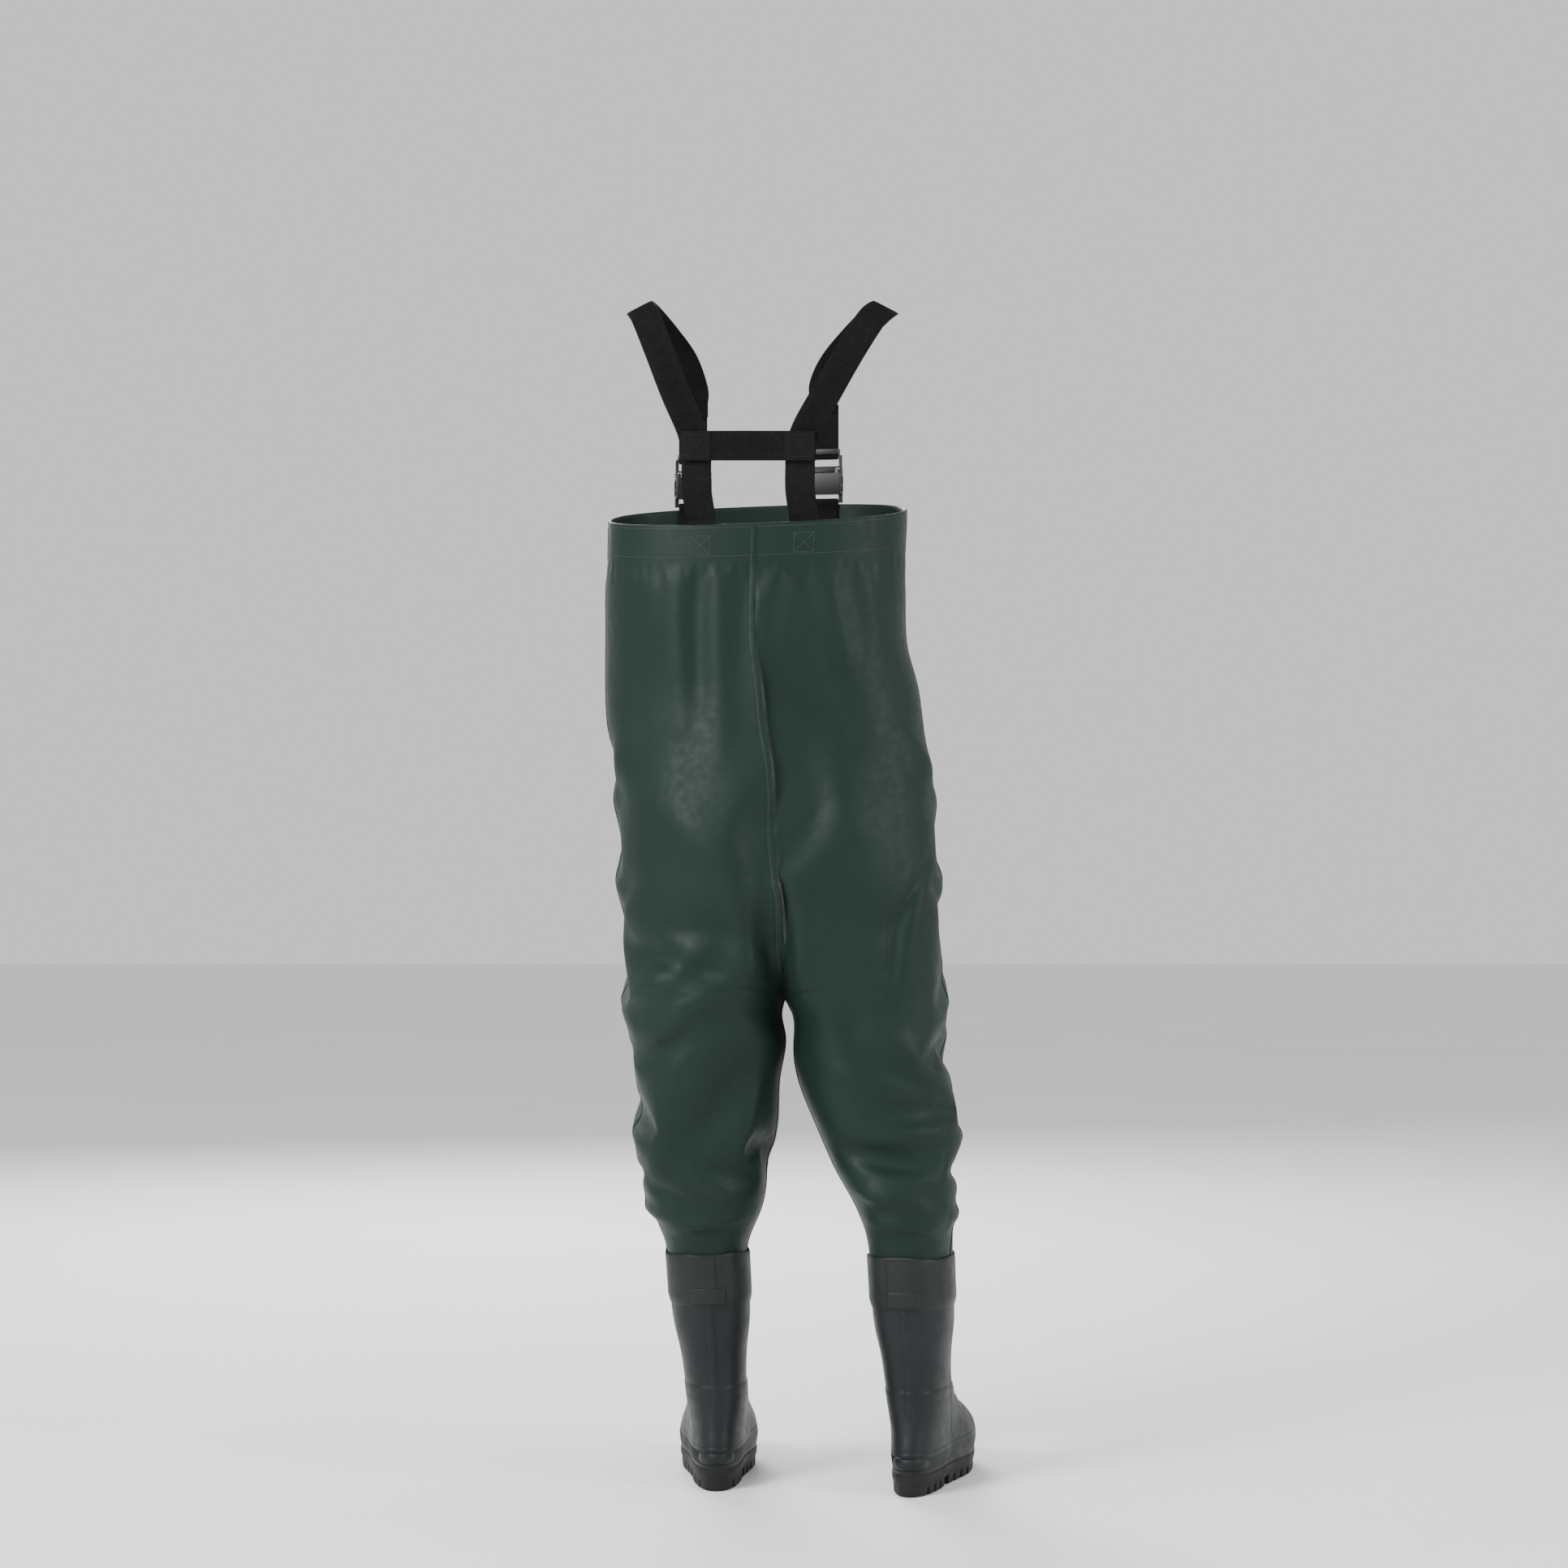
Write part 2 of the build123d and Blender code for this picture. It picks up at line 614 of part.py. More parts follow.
def strap_keeper():
    """Plastic loop that holds the tail against the strap end."""
    half = WEBBING_WIDTH / 2 + LAYER_GAP
    depth = MALE_BAR_HALF_DEPTH + 2 * LAYER_GAP + WEBBING
    outside = box_between(centred(half + KEEPER_WALL), centred(depth + KEEPER_WALL), KEEPER)
    return outside - box_between(centred(half), centred(depth), KEEPER)


def bib_tab():
    """Webbing tab: a loop round the female half's bar, with both ends in the bib's hem."""
    width = centred(WEBBING_WIDTH / 2)
    inner = FEMALE_BAR_HALF_DEPTH + LAYER_GAP
    low, high = TAB_BEND
    wall = WEBBING + LAYER_GAP / 2
    loop = box_between(width, centred(inner + WEBBING), TAB_BEND)
    loop -= box_between(width, centred(inner), (low + wall, high - wall))
    return loop + box_between(width, centred(WEBBING), (-HEM_TO_BUCKLE - TAB_TAIL, low))


def make_buckles(pieces):
    for side in SIDES:
        place = buckle_place(side)
        parts = {
            "buckle_female": female_half(),
            "buckle_male": male_half(),
            "buckle_left_prong": prong(1),
            "buckle_right_prong": prong(-1),
            "front_webbing": front_webbing(),
            "strap_keeper": strap_keeper(),
            "bib_tab": bib_tab(),
        }
        for name, part in parts.items():
            pieces[f"{side}_{name}"] = place * part


# ---- the whole object ---------------------------------------------------------------------------
def make_all():
    pieces = {}
    make_panels(pieces)
    make_tapes(pieces)
    make_hem_facing(pieces)
    make_pocket(pieces)
    for side in SIDES:
        make_boot(pieces, side)
    make_harness(pieces)
    make_buckles(pieces)
    return pieces


def origin_shift(pieces):
    """Move that puts the origin under the middle of the object's box, on the ground."""
    boxes = [piece.bounding_box() for piece in pieces.values()]
    low = [min(getattr(box.min, axis) for box in boxes) for axis in "XYZ"]
    high = [max(getattr(box.max, axis) for box in boxes) for axis in "XYZ"]
    return Pos(-(low[0] + high[0]) / 2, -(low[1] + high[1]) / 2, -low[2])


pieces = make_all()
shift = origin_shift(pieces)
print("origin shift", shift.position)
os.makedirs("parts", exist_ok=True)
for name, piece in pieces.items():
    export_step(shift * piece, f"parts/{name}.step")
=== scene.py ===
import json
import math

import bmesh
import bpy
import numpy as np
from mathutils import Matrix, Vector

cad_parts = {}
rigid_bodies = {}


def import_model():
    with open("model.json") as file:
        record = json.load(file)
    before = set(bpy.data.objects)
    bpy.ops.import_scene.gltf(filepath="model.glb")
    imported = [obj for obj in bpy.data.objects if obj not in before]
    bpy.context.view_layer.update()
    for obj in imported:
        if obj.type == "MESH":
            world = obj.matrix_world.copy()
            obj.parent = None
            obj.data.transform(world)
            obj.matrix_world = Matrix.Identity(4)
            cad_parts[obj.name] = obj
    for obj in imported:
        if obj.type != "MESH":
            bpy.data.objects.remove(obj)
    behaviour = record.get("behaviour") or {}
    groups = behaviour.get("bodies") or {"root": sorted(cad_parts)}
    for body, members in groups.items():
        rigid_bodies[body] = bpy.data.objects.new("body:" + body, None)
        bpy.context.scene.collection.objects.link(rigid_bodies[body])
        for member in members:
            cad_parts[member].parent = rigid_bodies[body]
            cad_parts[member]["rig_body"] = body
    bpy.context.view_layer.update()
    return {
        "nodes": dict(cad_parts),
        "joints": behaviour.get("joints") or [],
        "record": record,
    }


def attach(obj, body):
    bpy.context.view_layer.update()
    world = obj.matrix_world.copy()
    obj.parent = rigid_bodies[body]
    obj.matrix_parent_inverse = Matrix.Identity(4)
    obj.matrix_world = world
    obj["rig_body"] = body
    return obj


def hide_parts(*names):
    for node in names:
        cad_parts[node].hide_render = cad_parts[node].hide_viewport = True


# Chest waders. Points are written in millimetres in the design frame, where the left_heel mount is
# at MOUNT_IN_DESIGN. placed() turns them into metres in the row frame.

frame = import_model()

MM = 0.001
SIDES = {"left": 1, "right": -1}
MOUNT_IN_DESIGN = (88, 10, 0)
MOUNTS = {m["name"]: m for m in frame["record"]["mounts"]}
HERE = np.array(MOUNTS["left_heel"]["pos_m"]) - np.array(MOUNT_IN_DESIGN) * MM
JOINTS = {j["name"]: j for j in frame["joints"]}

# ---- sizes shared with the CAD model ------------------------------------------------------------
ROUNDNESS = 2.4
WEBBING_WIDTH = 38
WEBBING = 1.6
ELASTIC = 2.2
HEM_DEPTH = 45
RIM = 1273
CROTCH = 660
SHAFT_TOP = 306
LEG_END = 250
OVER_BOOT = SHAFT_TOP + 8    # from here down the cloth keeps to the boot's shaft
CLOTH_OUT = 2.75         # the cloth's distance outside a boot's shaft
HEM_SLOPE_X = -0.038
HEM_SLOPE_Y = -0.149
# Height, left edge, right edge, front, back, how far each leg has closed, share of hem slope.
BODY = [
    (1273, 230, -161, -150, 130, 0.00, 1.00),
    (1225, 231, -159, -151, 129, 0.00, 0.85),
    (1170, 231, -157, -154, 126, 0.00, 0.62),
    (1110, 231, -158, -158, 123, 0.00, 0.40),
    (1050, 232, -174, -160, 122, 0.00, 0.20),
    (1000, 230, -182, -158, 127, 0.00, 0.08),
    (950, 223, -193, -152, 137, 0.00, 0.00),
    (870, 217, -199, -142, 149, 0.00, 0.00),
    (790, 215, -206, -136, 146, 0.35, 0.00),
    (725, 212, -209, -130, 136, 0.72, 0.00),
    (688, 211, -211, -126, 129, 0.92, 0.00),
    (660, 211, -212, -122, 124, 1.00, 0.00),
]
# Height, outer edge, inner edge, front, back.
LEG = {
    "left": [
        (600, 207, 3, -117, 112),
        (540, 199, 16, -112, 100),
        (480, 194, 16, -105, 92),
        (420, 190, 20, -98, 84),
        (370, 177, 28, -90, 72),
    ],
    "right": [
        (600, -214, -19, -110, 118),
        (540, -217, -29, -100, 112),
        (480, -226, -50, -88, 110),
        (420, -225, -71, -74, 112),
        (370, -223, -95, -58, 108),
    ],
}
HEEL_PLACE = {"left": (88, 46), "right": (-160, 88)}
TOE_OUT = {"left": 0, "right": 12.5}
SHAFT_LEAN = {"left": 13, "right": 9}
LEAN_BOTTOM = 100
SOLE_HEIGHT = 28
# Height, rear, front, half width at the heel, half width at the ball of the foot.
BOOT = [
    (28, 3, 300, 34, 50),
    (45, 1, 304, 37, 52),
    (62, 3, 298, 38, 50),
    (78, 7, 268, 38, 46),
    (95, 10, 222, 39, 42),
    (115, 12, 178, 40, 40),
    (140, 12, 152, 41, 41),
    (175, 9, 142, 44, 44),
    (215, 5, 137, 48.5, 48.5),
    (260, 3, 137, 50.0, 50.0),
    (306, 3, 137, 50.5, 50.5),
]

# ---- sizes of the looks -------------------------------------------------------------------------
COLUMNS = 72             # across one half of the garment, before refining
ROW_STEP = 8.5
FINER = 2                # rows and columns of the refined cloth for each one before
ROLL = 1.6               # radius of the rolled hem edge
LAYER = 1.2              # thickness of the coated fabric
LINING_DEPTH = 5.0       # of the lining's coarser grid under the cloth, clear of every fold
STITCH_PITCH = 3.6
STITCH_LENGTH = 2.7
STITCH_RADIUS = 0.42


# ---- meshes -------------------------------------------------------------------------------------
def placed(points):
    """Design millimetres to metres in the row frame."""
    return np.asarray(points, float) * MM + HERE


def linked(name, data):
    """New object in the scene."""
    made = bpy.data.objects.new(name, data)
    bpy.context.scene.collection.objects.link(made)
    return made


def new_mesh(name, metres, faces):
    mesh = bpy.data.meshes.new(name)
    mesh.from_pydata(np.asarray(metres).tolist(), [], faces)
    return mesh


def declare(piece, body, replaces=(), slot=None):
    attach(piece, body)
    if replaces:
        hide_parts(*replaces)


def mesh_object(name, vertices, faces, material, body, sharp=50, **facts):
    """Smooth-shaded piece from points in metres; sharp is the angle of edges kept sharp, 0 for none."""
    mesh = new_mesh(name, vertices, faces)
    mesh.materials.append(material)
    mesh.shade_smooth()
    if sharp:
        mesh.set_sharp_from_angle(angle=math.radians(sharp))
    piece = linked(name, mesh)
    declare(piece, body, **facts)
    return piece


def grid_faces(rows, cols, around, flip, start=0):
    """Quads of a grid of points; around joins the last column to the first."""
    faces = []
    for r in range(rows - 1):
        for c in range(cols if around else cols - 1):
            a, b = start + r * cols + c, start + r * cols + (c + 1) % cols
            quad = (a, b, b + cols, a + cols)
            faces.append(quad[::-1] if flip else quad)
    return faces


def set_uv(piece, places):
    """UV in metres, from one place in millimetres for each vertex."""
    index = np.zeros(len(piece.data.loops), int)
    piece.data.loops.foreach_get("vertex_index", index)
    layer = piece.data.uv_layers.new(name="lengths")
    layer.data.foreach_set("uv", (places[index] * MM).astype(np.float32).ravel())


def running(steps):
    """Running total of steps, from 0."""
    return np.concatenate([[0], np.cumsum(steps)])


def grid(name, points, material, around=False, caps=False, flip=False, body="garment", **facts):
    """Piece from a grid of points (rows, columns, 3); caps close its first and last row."""
    points = np.asarray(points, float)
    rows, cols = points.shape[:2]
    faces = grid_faces(rows, cols, around, flip)
    if caps:
        first, last = tuple(range(cols)), tuple(range((rows - 1) * cols, rows * cols))
        faces += [first, last[::-1]] if flip else [first[::-1], last]
    piece = mesh_object(name, placed(points.reshape(-1, 3)), faces, material, body, **facts)
    u = running(np.linalg.norm(np.diff(points, axis=1), axis=2).mean(0))
    v = running(np.linalg.norm(np.diff(points, axis=0), axis=2).mean(1))
    set_uv(piece, np.stack(np.meshgrid(u, v), -1).reshape(-1, 2))
    return piece


def catmull(values, places):
    """Smooth curve through the rows of values, at places counted in rows."""
    values, places = np.asarray(values, float), np.asarray(places, float)
    last = len(values) - 1
    i = np.clip(np.floor(places).astype(int), 0, last - 1)
    t = (places - i).reshape((-1,) + (1,) * (values.ndim - 1))
    p0, p1, p2, p3 = (values[np.clip(i + k, 0, last)] for k in (-1, 0, 1, 2))
    bend = 2 * p0 - 5 * p1 + 4 * p2 - p3
    return 0.5 * (2 * p1 + t * (p2 - p0 + t * (bend + t * (3 * p1 - p0 - 3 * p2 + p3))))


def smoothstep(low, high, value):
    t = np.clip((value - low) / (high - low), 0, 1)
    return t * t * (3 - 2 * t)


def unit(vectors):
    return vectors / np.maximum(np.linalg.norm(vectors, axis=-1, keepdims=True), 1e-9)


def lengths_of(points):
    """Length along a polyline up to each of its points."""
    return running(np.linalg.norm(np.diff(points, axis=0), axis=1))


def at_lengths(rows, run, marks):
    """Rows of numbers at marks along a run."""
    return np.stack([np.interp(marks, run, column) for column in np.transpose(rows)], 1)


def by_length(rows, count):
    """Rows spaced evenly by the length of the polyline in their first three numbers."""
    run = lengths_of(rows[:, :3])
    return at_lengths(rows, run, np.linspace(0, run[-1], count))


def turns(count):
    """Evenly spaced angles of a full turn."""
    return np.linspace(0, 2 * math.pi, count + 1)[:-1]


# ---- materials ----------------------------------------------------------------------------------
def node(tree, kind, settings=None, **inputs):
    """New shader node; an input is a number, a colour or another node's socket."""
    made = tree.nodes.new("ShaderNode" + kind)
    for name, value in (settings or {}).items():
        setattr(made, name, value)
    for name, value in inputs.items():
        socket = made.inputs[name.replace("_", " ")]
        if isinstance(value, bpy.types.NodeSocket):
            tree.links.new(value, socket)
        else:
            socket.default_value = value
    return made


def noise_of(tree, where, scale, detail=4.0, roughness=0.55):
    made = node(tree, "TexNoise", Vector=where, Scale=scale, Detail=detail, Roughness=roughness)
    return made.outputs["Fac"]


def ramp(tree, value, stops):
    """Colour ramp: each stop is a place and a colour."""
    made = node(tree, "ValToRGB", Fac=value)
    elements = made.color_ramp.elements
    while len(elements) < len(stops):
        elements.new(0.5)
    for element, (place, colour) in zip(elements, stops):
        element.position = place
        element.color = (*colour, 1)
    return made.outputs["Color"]


WAVE_SCALE = 0.314       # of a wave texture whose bands are one unit apart


def weave(tree, where, pitch):
    """Plain weave of that pitch in millimetres, as a height from UV lengths."""
    made = node(tree, "Math", {"operation": "MULTIPLY"})
    for direction, socket in zip(("X", "Y"), made.inputs):
        settings = {"bands_direction": direction, "wave_profile": "SIN"}
        wave = node(tree, "TexWave", settings, Vector=where, Scale=WAVE_SCALE / (pitch * MM))
        tree.links.new(wave.outputs["Fac"], socket)
    return made.outputs[0]


def surface(name, colour_noise, stops, rough_noise, rough, bumps=(), **sockets):
    """Material whose colour and roughness follow two noises, each a scale, detail and roughness.

    Each bump is a noise or the pitch of a weave, then a strength and a distance in millimetres.
    """
    material = bpy.data.materials.new(name)
    material.use_nodes = True
    tree = material.node_tree
    shader = tree.nodes["Principled BSDF"]
    for socket, value in sockets.items():
        shader.inputs[socket.replace("_", " ")].default_value = value
    places = node(tree, "TexCoord").outputs
    where = places["Object"]
    tree.links.new(ramp(tree, noise_of(tree, where, *colour_noise), stops), shader.inputs["Base Color"])
    ends = {"From_Min": 0.3, "From_Max": 0.7, "To_Min": rough[0], "To_Max": rough[1]}
    ranged = node(tree, "MapRange", Value=noise_of(tree, where, *rough_noise), **ends)
    tree.links.new(ranged.outputs["Result"], shader.inputs["Roughness"])
    into = shader.inputs["Normal"]
    for source, strength, distance in bumps[::-1]:
        woven = isinstance(source, float)
        height = weave(tree, places["UV"], source) if woven else noise_of(tree, where, *source)
        made = node(tree, "Bump", Height=height, Strength=strength, Distance=distance * MM)
        tree.links.new(made.outputs["Normal"], into)
        into = made.inputs["Normal"]
    return material


def rubber(name, dark, mid, light, gloss):
    """Moulded rubber with fine grain and mottling."""
    return surface(
        name, (14.0, 8.0, 0.6), [(0.28, dark), (0.52, mid), (0.78, light)],
        (45.0, 10.0, 0.7), (gloss - 0.06, gloss + 0.12),
        [((22.0, 3.0), 0.2, 0.8), ((160.0, 4.0), 0.3, 0.15)], Specular_IOR_Level=0.22,
    )


def textile(name, dark, light, pitch, depth=0.35, rough=(0.62, 0.80)):
    """Woven narrow fabric: webbing, elastic, thread or fleece."""
    return surface(
        name, (120.0, 5.0), [(0.3, dark), (0.7, light)], (300.0,), rough,
        [(pitch, 0.6, depth), ((500.0, 3.0), 0.35, 0.12)],
        Sheen_Weight=0.02, Sheen_Roughness=0.4, Specular_IOR_Level=0.13,
    )


FABRIC = surface(
    "coated_fabric", (5.0, 5.0),
    [(0.25, (0.0028, 0.0115, 0.0080)), (0.55, (0.0038, 0.0148, 0.0103)), (0.80, (0.0053, 0.0182, 0.0130))],
    (90.0, 6.0), (0.50, 0.62),
    [((28.0, 3.0), 0.25, 1.2), ((90.0, 6.0), 0.25, 0.25), (1.1, 0.10, 0.12)],
    Sheen_Weight=0.02, Sheen_Roughness=0.5, Specular_IOR_Level=0.19,
)
LINING = surface(
    "knit_lining", (60.0,), [(0.3, (0.020, 0.024, 0.023)), (0.7, (0.038, 0.044, 0.042))],
    (200.0,), (0.82, 0.95), [(1.6, 0.5, 0.4)], Sheen_Weight=0.3,
)
UPPER = rubber(
    "boot_rubber", (0.0058, 0.0080, 0.0086), (0.0082, 0.0108, 0.0114), (0.0122, 0.0152, 0.0158), 0.46
)
CUFF_RUBBER = rubber(
    "cuff_rubber", (0.0072, 0.0098, 0.0098), (0.0098, 0.0128, 0.0126), (0.0140, 0.0172, 0.0170), 0.48
)
SOLE = rubber(
    "sole_rubber", (0.0062, 0.0055, 0.0058), (0.0088, 0.0078, 0.0080), (0.0140, 0.0122, 0.0122), 0.60
)
STRAP = textile("webbing_weave", (0.0018, 0.0018, 0.0020), (0.0042, 0.0042, 0.0044), 1.5)
ELASTIC_CLOTH = textile("elastic_weave", (0.0016, 0.0016, 0.0018), (0.0038, 0.0038, 0.0040), 0.9)
THREAD = textile("thread", (0.030, 0.042, 0.030), (0.055, 0.070, 0.050), 0.5, 0.1)
BLACK_THREAD = textile("black_thread", (0.010, 0.010, 0.011), (0.018, 0.018, 0.019), 0.5, 0.1)
FLEECE = textile("hook_and_loop", (0.010, 0.010, 0.010), (0.028, 0.028, 0.028), 0.6, 0.9, (0.9, 1.0))
FELT = textile("felt", (0.050, 0.050, 0.050), (0.095, 0.095, 0.095), 1.2, 0.3, (0.9, 1.0))
PLASTIC = surface(
    "moulded_plastic", (70.0, 6.0), [(0.3, (0.005, 0.005, 0.006)), (0.75, (0.010, 0.010, 0.011))],
    (260.0, 8.0, 0.7), (0.32, 0.50), [((900.0, 3.0), 0.35, 0.06)], Specular_IOR_Level=0.4,
)
FLOOR = surface(
    "studio_floor", (1.5,), [(0.3, (0.80, 0.80, 0.80)), (0.7, (0.83, 0.83, 0.83))],
    (1.5,), (0.9, 0.9), Specular_IOR_Level=0.2,
)


# ---- sections of the garment --------------------------------------------------------------------
BALL_OF_FOOT = (90, 200)     # where a foot widens from its heel's width to its ball's
SECTION_SAMPLES = 241


def superellipse(a, b, angle):
    power = 2 / ROUNDNESS
    c, s = np.cos(angle), np.sin(angle)
    return a * np.sign(c) * np.abs(c) ** power, b * np.sign(s) * np.abs(s) ** power


def rest_of(share):
    """The other half axis of a superellipse, as a share, where one axis is at that share."""
    return (1 - share ** ROUNDNESS) ** (1 / ROUNDNESS)


def boot_point(side, forward, across):
    turn = math.radians(TOE_OUT[side])
    heel_x, heel_y = HEEL_PLACE[side]
    x = heel_x + across * math.cos(turn) - forward * math.sin(turn)
    y = heel_y - forward * math.cos(turn) - across * math.sin(turn)
    return x, y


def lean(side, z):
    return SHAFT_LEAN[side] * np.maximum(0.0, (z - LEAN_BOTTOM) / (SHAFT_TOP - LEAN_BOTTOM))


def leaning_point(side, forward, across, z):
    """Point of a boot, moved over by its shaft's lean."""
    x, y = boot_point(side, forward, across)
    return np.stack([x + lean(side, z), y, z + 0 * x], -1)


def half_width_at(forward, heel_half, ball_half):
    return heel_half + (ball_half - heel_half) * smoothstep(*BALL_OF_FOOT, forward)


def shaft_row(side, z, out):
    """Row of a section that follows a boot's shaft at a distance."""
    _, rear, front, half, _ = BOOT[-1]
    x, y = boot_point(side, (rear + front) / 2, 0)
    x = x + lean(side, z)
    across, along = SIDES[side] * (half + out), (front - rear) / 2 + out
    return (z, x + across, x - across, y - along, y + along, 1, 0, -TOE_OUT[side])


def garment_rows(side):
    rows = []
    for z, left, right, front, back, close, slope in BODY:
        outer = left if side == "left" else right
        rows.append((z, outer, (left + right) / 2, front, back, close, slope, 0))
    for z, outer, inner, front, back in LEG[side]:
        rows.append((z, outer, inner, front, back, 1, 0, 0))
    for z in (OVER_BOOT, SHAFT_TOP - 4, LEG_END):
        rows.append(shaft_row(side, z, CLOTH_OUT))
    return np.array(rows, float)


def row_at(rows, z):
    """Row at a height, on a smooth curve through rows that run downward."""
    place = np.interp(-z, -rows[:, 0], np.arange(len(rows)))
    return catmull(rows[:, 1:], [place])[0]


def section(side, rows, z, count, out=0.0):
    """Points of one half's section from the front seam round to the back seam."""
    sign = SIDES[side]
    outer, inner, front, back, close, slope, yaw = row_at(rows, z)
    width = abs(outer - inner)
    inset = min(1.0, max(0.0, close)) * width / 2
    a, b = width - inset, (back - front) / 2
    start = math.acos(-((inset / a) ** (ROUNDNESS / 2)))
    angles = np.linspace(-start, start, SECTION_SAMPLES)
    before, flat, after = (np.stack(superellipse(a, b, angles + nudge), 1) for nudge in (-1e-4, 0, 1e-4))
    along = unit(after - before)
    x, y = sign * (flat[:, 0] + out * along[:, 1]), flat[:, 1] - out * along[:, 0]
    c, s = math.cos(math.radians(yaw)), math.sin(math.radians(yaw))
    flat = np.stack([inner + sign * inset + x * c - y * s, (front + back) / 2 + x * s + y * c], 1)
    flat = by_length(flat, count + 1)
    height = z + slope * (HEM_SLOPE_X * flat[:, 0] + HEM_SLOPE_Y * flat[:, 1])
    return np.column_stack([flat, height])


def levels(top, bottom, step=ROW_STEP):
    return np.linspace(top, bottom, max(1, round((top - bottom) / step)) + 1)


GARMENT_LEVELS = np.concatenate(
    [levels(RIM, CROTCH), levels(CROTCH, OVER_BOOT)[1:], levels(OVER_BOOT, LEG_END)[1:]]
)
CROTCH_ROW = len(levels(RIM, CROTCH)) - 1


def half_grids(heights, count, out=0.0):
    grids = {}
    for side in SIDES:
        rows = garment_rows(side)
        grids[side] = np.array([section(side, rows, z, count, out) for z in heights])
    return grids


def close_seams(halves, crotch_row):
    """Makes the edges of the two halves meet on the trunk, and each leg meet itself below."""
    left, right = halves["left"], halves["right"]
    for column in (0, -1):
        right[: crotch_row + 1, column] = left[: crotch_row + 1, column]
    for half in (left, right):
        half[crotch_row:, -1] = half[crotch_row:, 0]
    left[crotch_row, [0, -1]] = right[crotch_row, [0, -1]] = left[crotch_row, 0]


def refined(points):
    """Finer grid on smooth curves through the points."""
    rows, cols = points.shape[:2]
    points = catmull(points, np.linspace(0, rows - 1, FINER * (rows - 1) + 1))
    points = catmull(points.transpose(1, 0, 2), np.linspace(0, cols - 1, FINER * (cols - 1) + 1))
    return points.transpose(1, 0, 2)


def outward(side, points):
    """Unit normals of a half grid, away from the wearer."""
    down, across = np.gradient(points, axis=0), np.gradient(points, axis=1)
    return SIDES[side] * unit(np.cross(down, across))


def welded(halves):
    """Vertices, faces and the vertex number of each grid point, with meeting points made one."""
    index, vertices, faces, numbers = {}, [], [], {}
    for side, points in halves.items():
        rows, cols = points.shape[:2]
        own = np.zeros((rows, cols), int)
        for r in range(rows):
            for c in range(cols):
                key = tuple(np.round(points[r, c], 3))
                if key not in index:
                    index[key] = len(vertices)
                    vertices.append(points[r, c])
                own[r, c] = index[key]
        numbers[side] = own
        for r in range(rows - 1):
            for c in range(cols - 1):
                quad = (own[r, c], own[r + 1, c], own[r + 1, c + 1], own[r, c + 1])
                quad = tuple(int(v) for v in dict.fromkeys(quad))
                if len(quad) > 2:
                    faces.append(quad if SIDES[side] > 0 else quad[::-1])
    return np.array(vertices), faces, numbers


# ---- folds and cloth ----------------------------------------------------------------------------
# Folds of the coated cloth, as strokes on a view of the object: "back" and "front" strokes run in
# X and Z, "side" and "inner" strokes in Y and Z on the outer and inner side of each leg. Each is a
# start, an end, a width and a height in millimetres; a negative height is a hollow.
BACK_FOLDS = [
    ((86, 1205), (82, 960), 26, 3.2),
    ((137, 1205), (131, 1000), 24, 3.0),
    ((112, 1190), (108, 1010), 20, -2.2),
    ((-56, 1200), (-83, 1060), 22, 3.0),
    ((-16, 1200), (-98, 985), 26, -2.6),
    ((-110, 1180), (-120, 1080), 20, 2.4),
    ((12, 1190), (30, 1040), 24, 2.2),
    ((190, 1150), (186, 930), 30, -2.6),
    ((150, 900), (70, 820), 44, 5.5),
    ((-60, 900), (-120, 840), 44, 5.0),
    ((196, 716), (64, 672), 22, -8.0),
    ((204, 640), (96, 716), 26, 6.0),
    ((200, 590), (40, 690), 26, 7.0),
    ((22, 800), (12, 640), 26, -11.0),
    ((160, 742), (40, 724), 34, -8.0),
    ((-50, 772), (-130, 742), 34, -6.5),
    ((60, 780), (36, 680), 22, 4.0),
    ((-30, 760), (-22, 650), 20, 4.5),
    ((190, 566), (120, 600), 16, -4.0),
    ((22, 572), (58, 436), 18, 5.0),
    ((60, 560), (110, 440), 24, -4.0),
    ((150, 520), (170, 410), 26, 3.5),
    ((120, 420), (60, 385), 15, 4.5),
    ((170, 400), (110, 362), 13, -4.0),
    ((60, 356), (150, 340), 10, 3.5),
    ((-120, 614), (-214, 528), 22, 6.0),
    ((-66, 556), (-202, 520), 20, 5.0),
    ((-64, 640), (-104, 588), 20, -4.0),
    ((-192, 840), (-146, 742), 9, -3.0),
    ((-146, 742), (-136, 640), 9, -3.0),
    ((-176, 800), (-160, 690), 20, 3.5),
    ((-72, 452), (-182, 430), 24, -9.0),
    ((-210, 480), (-130, 476), 18, 4.5),
    ((-90, 396), (-150, 386), 15, 5.0),
    ((-180, 398), (-212, 372), 14, -4.0),
    ((-110, 356), (-190, 346), 10, 3.5),
]
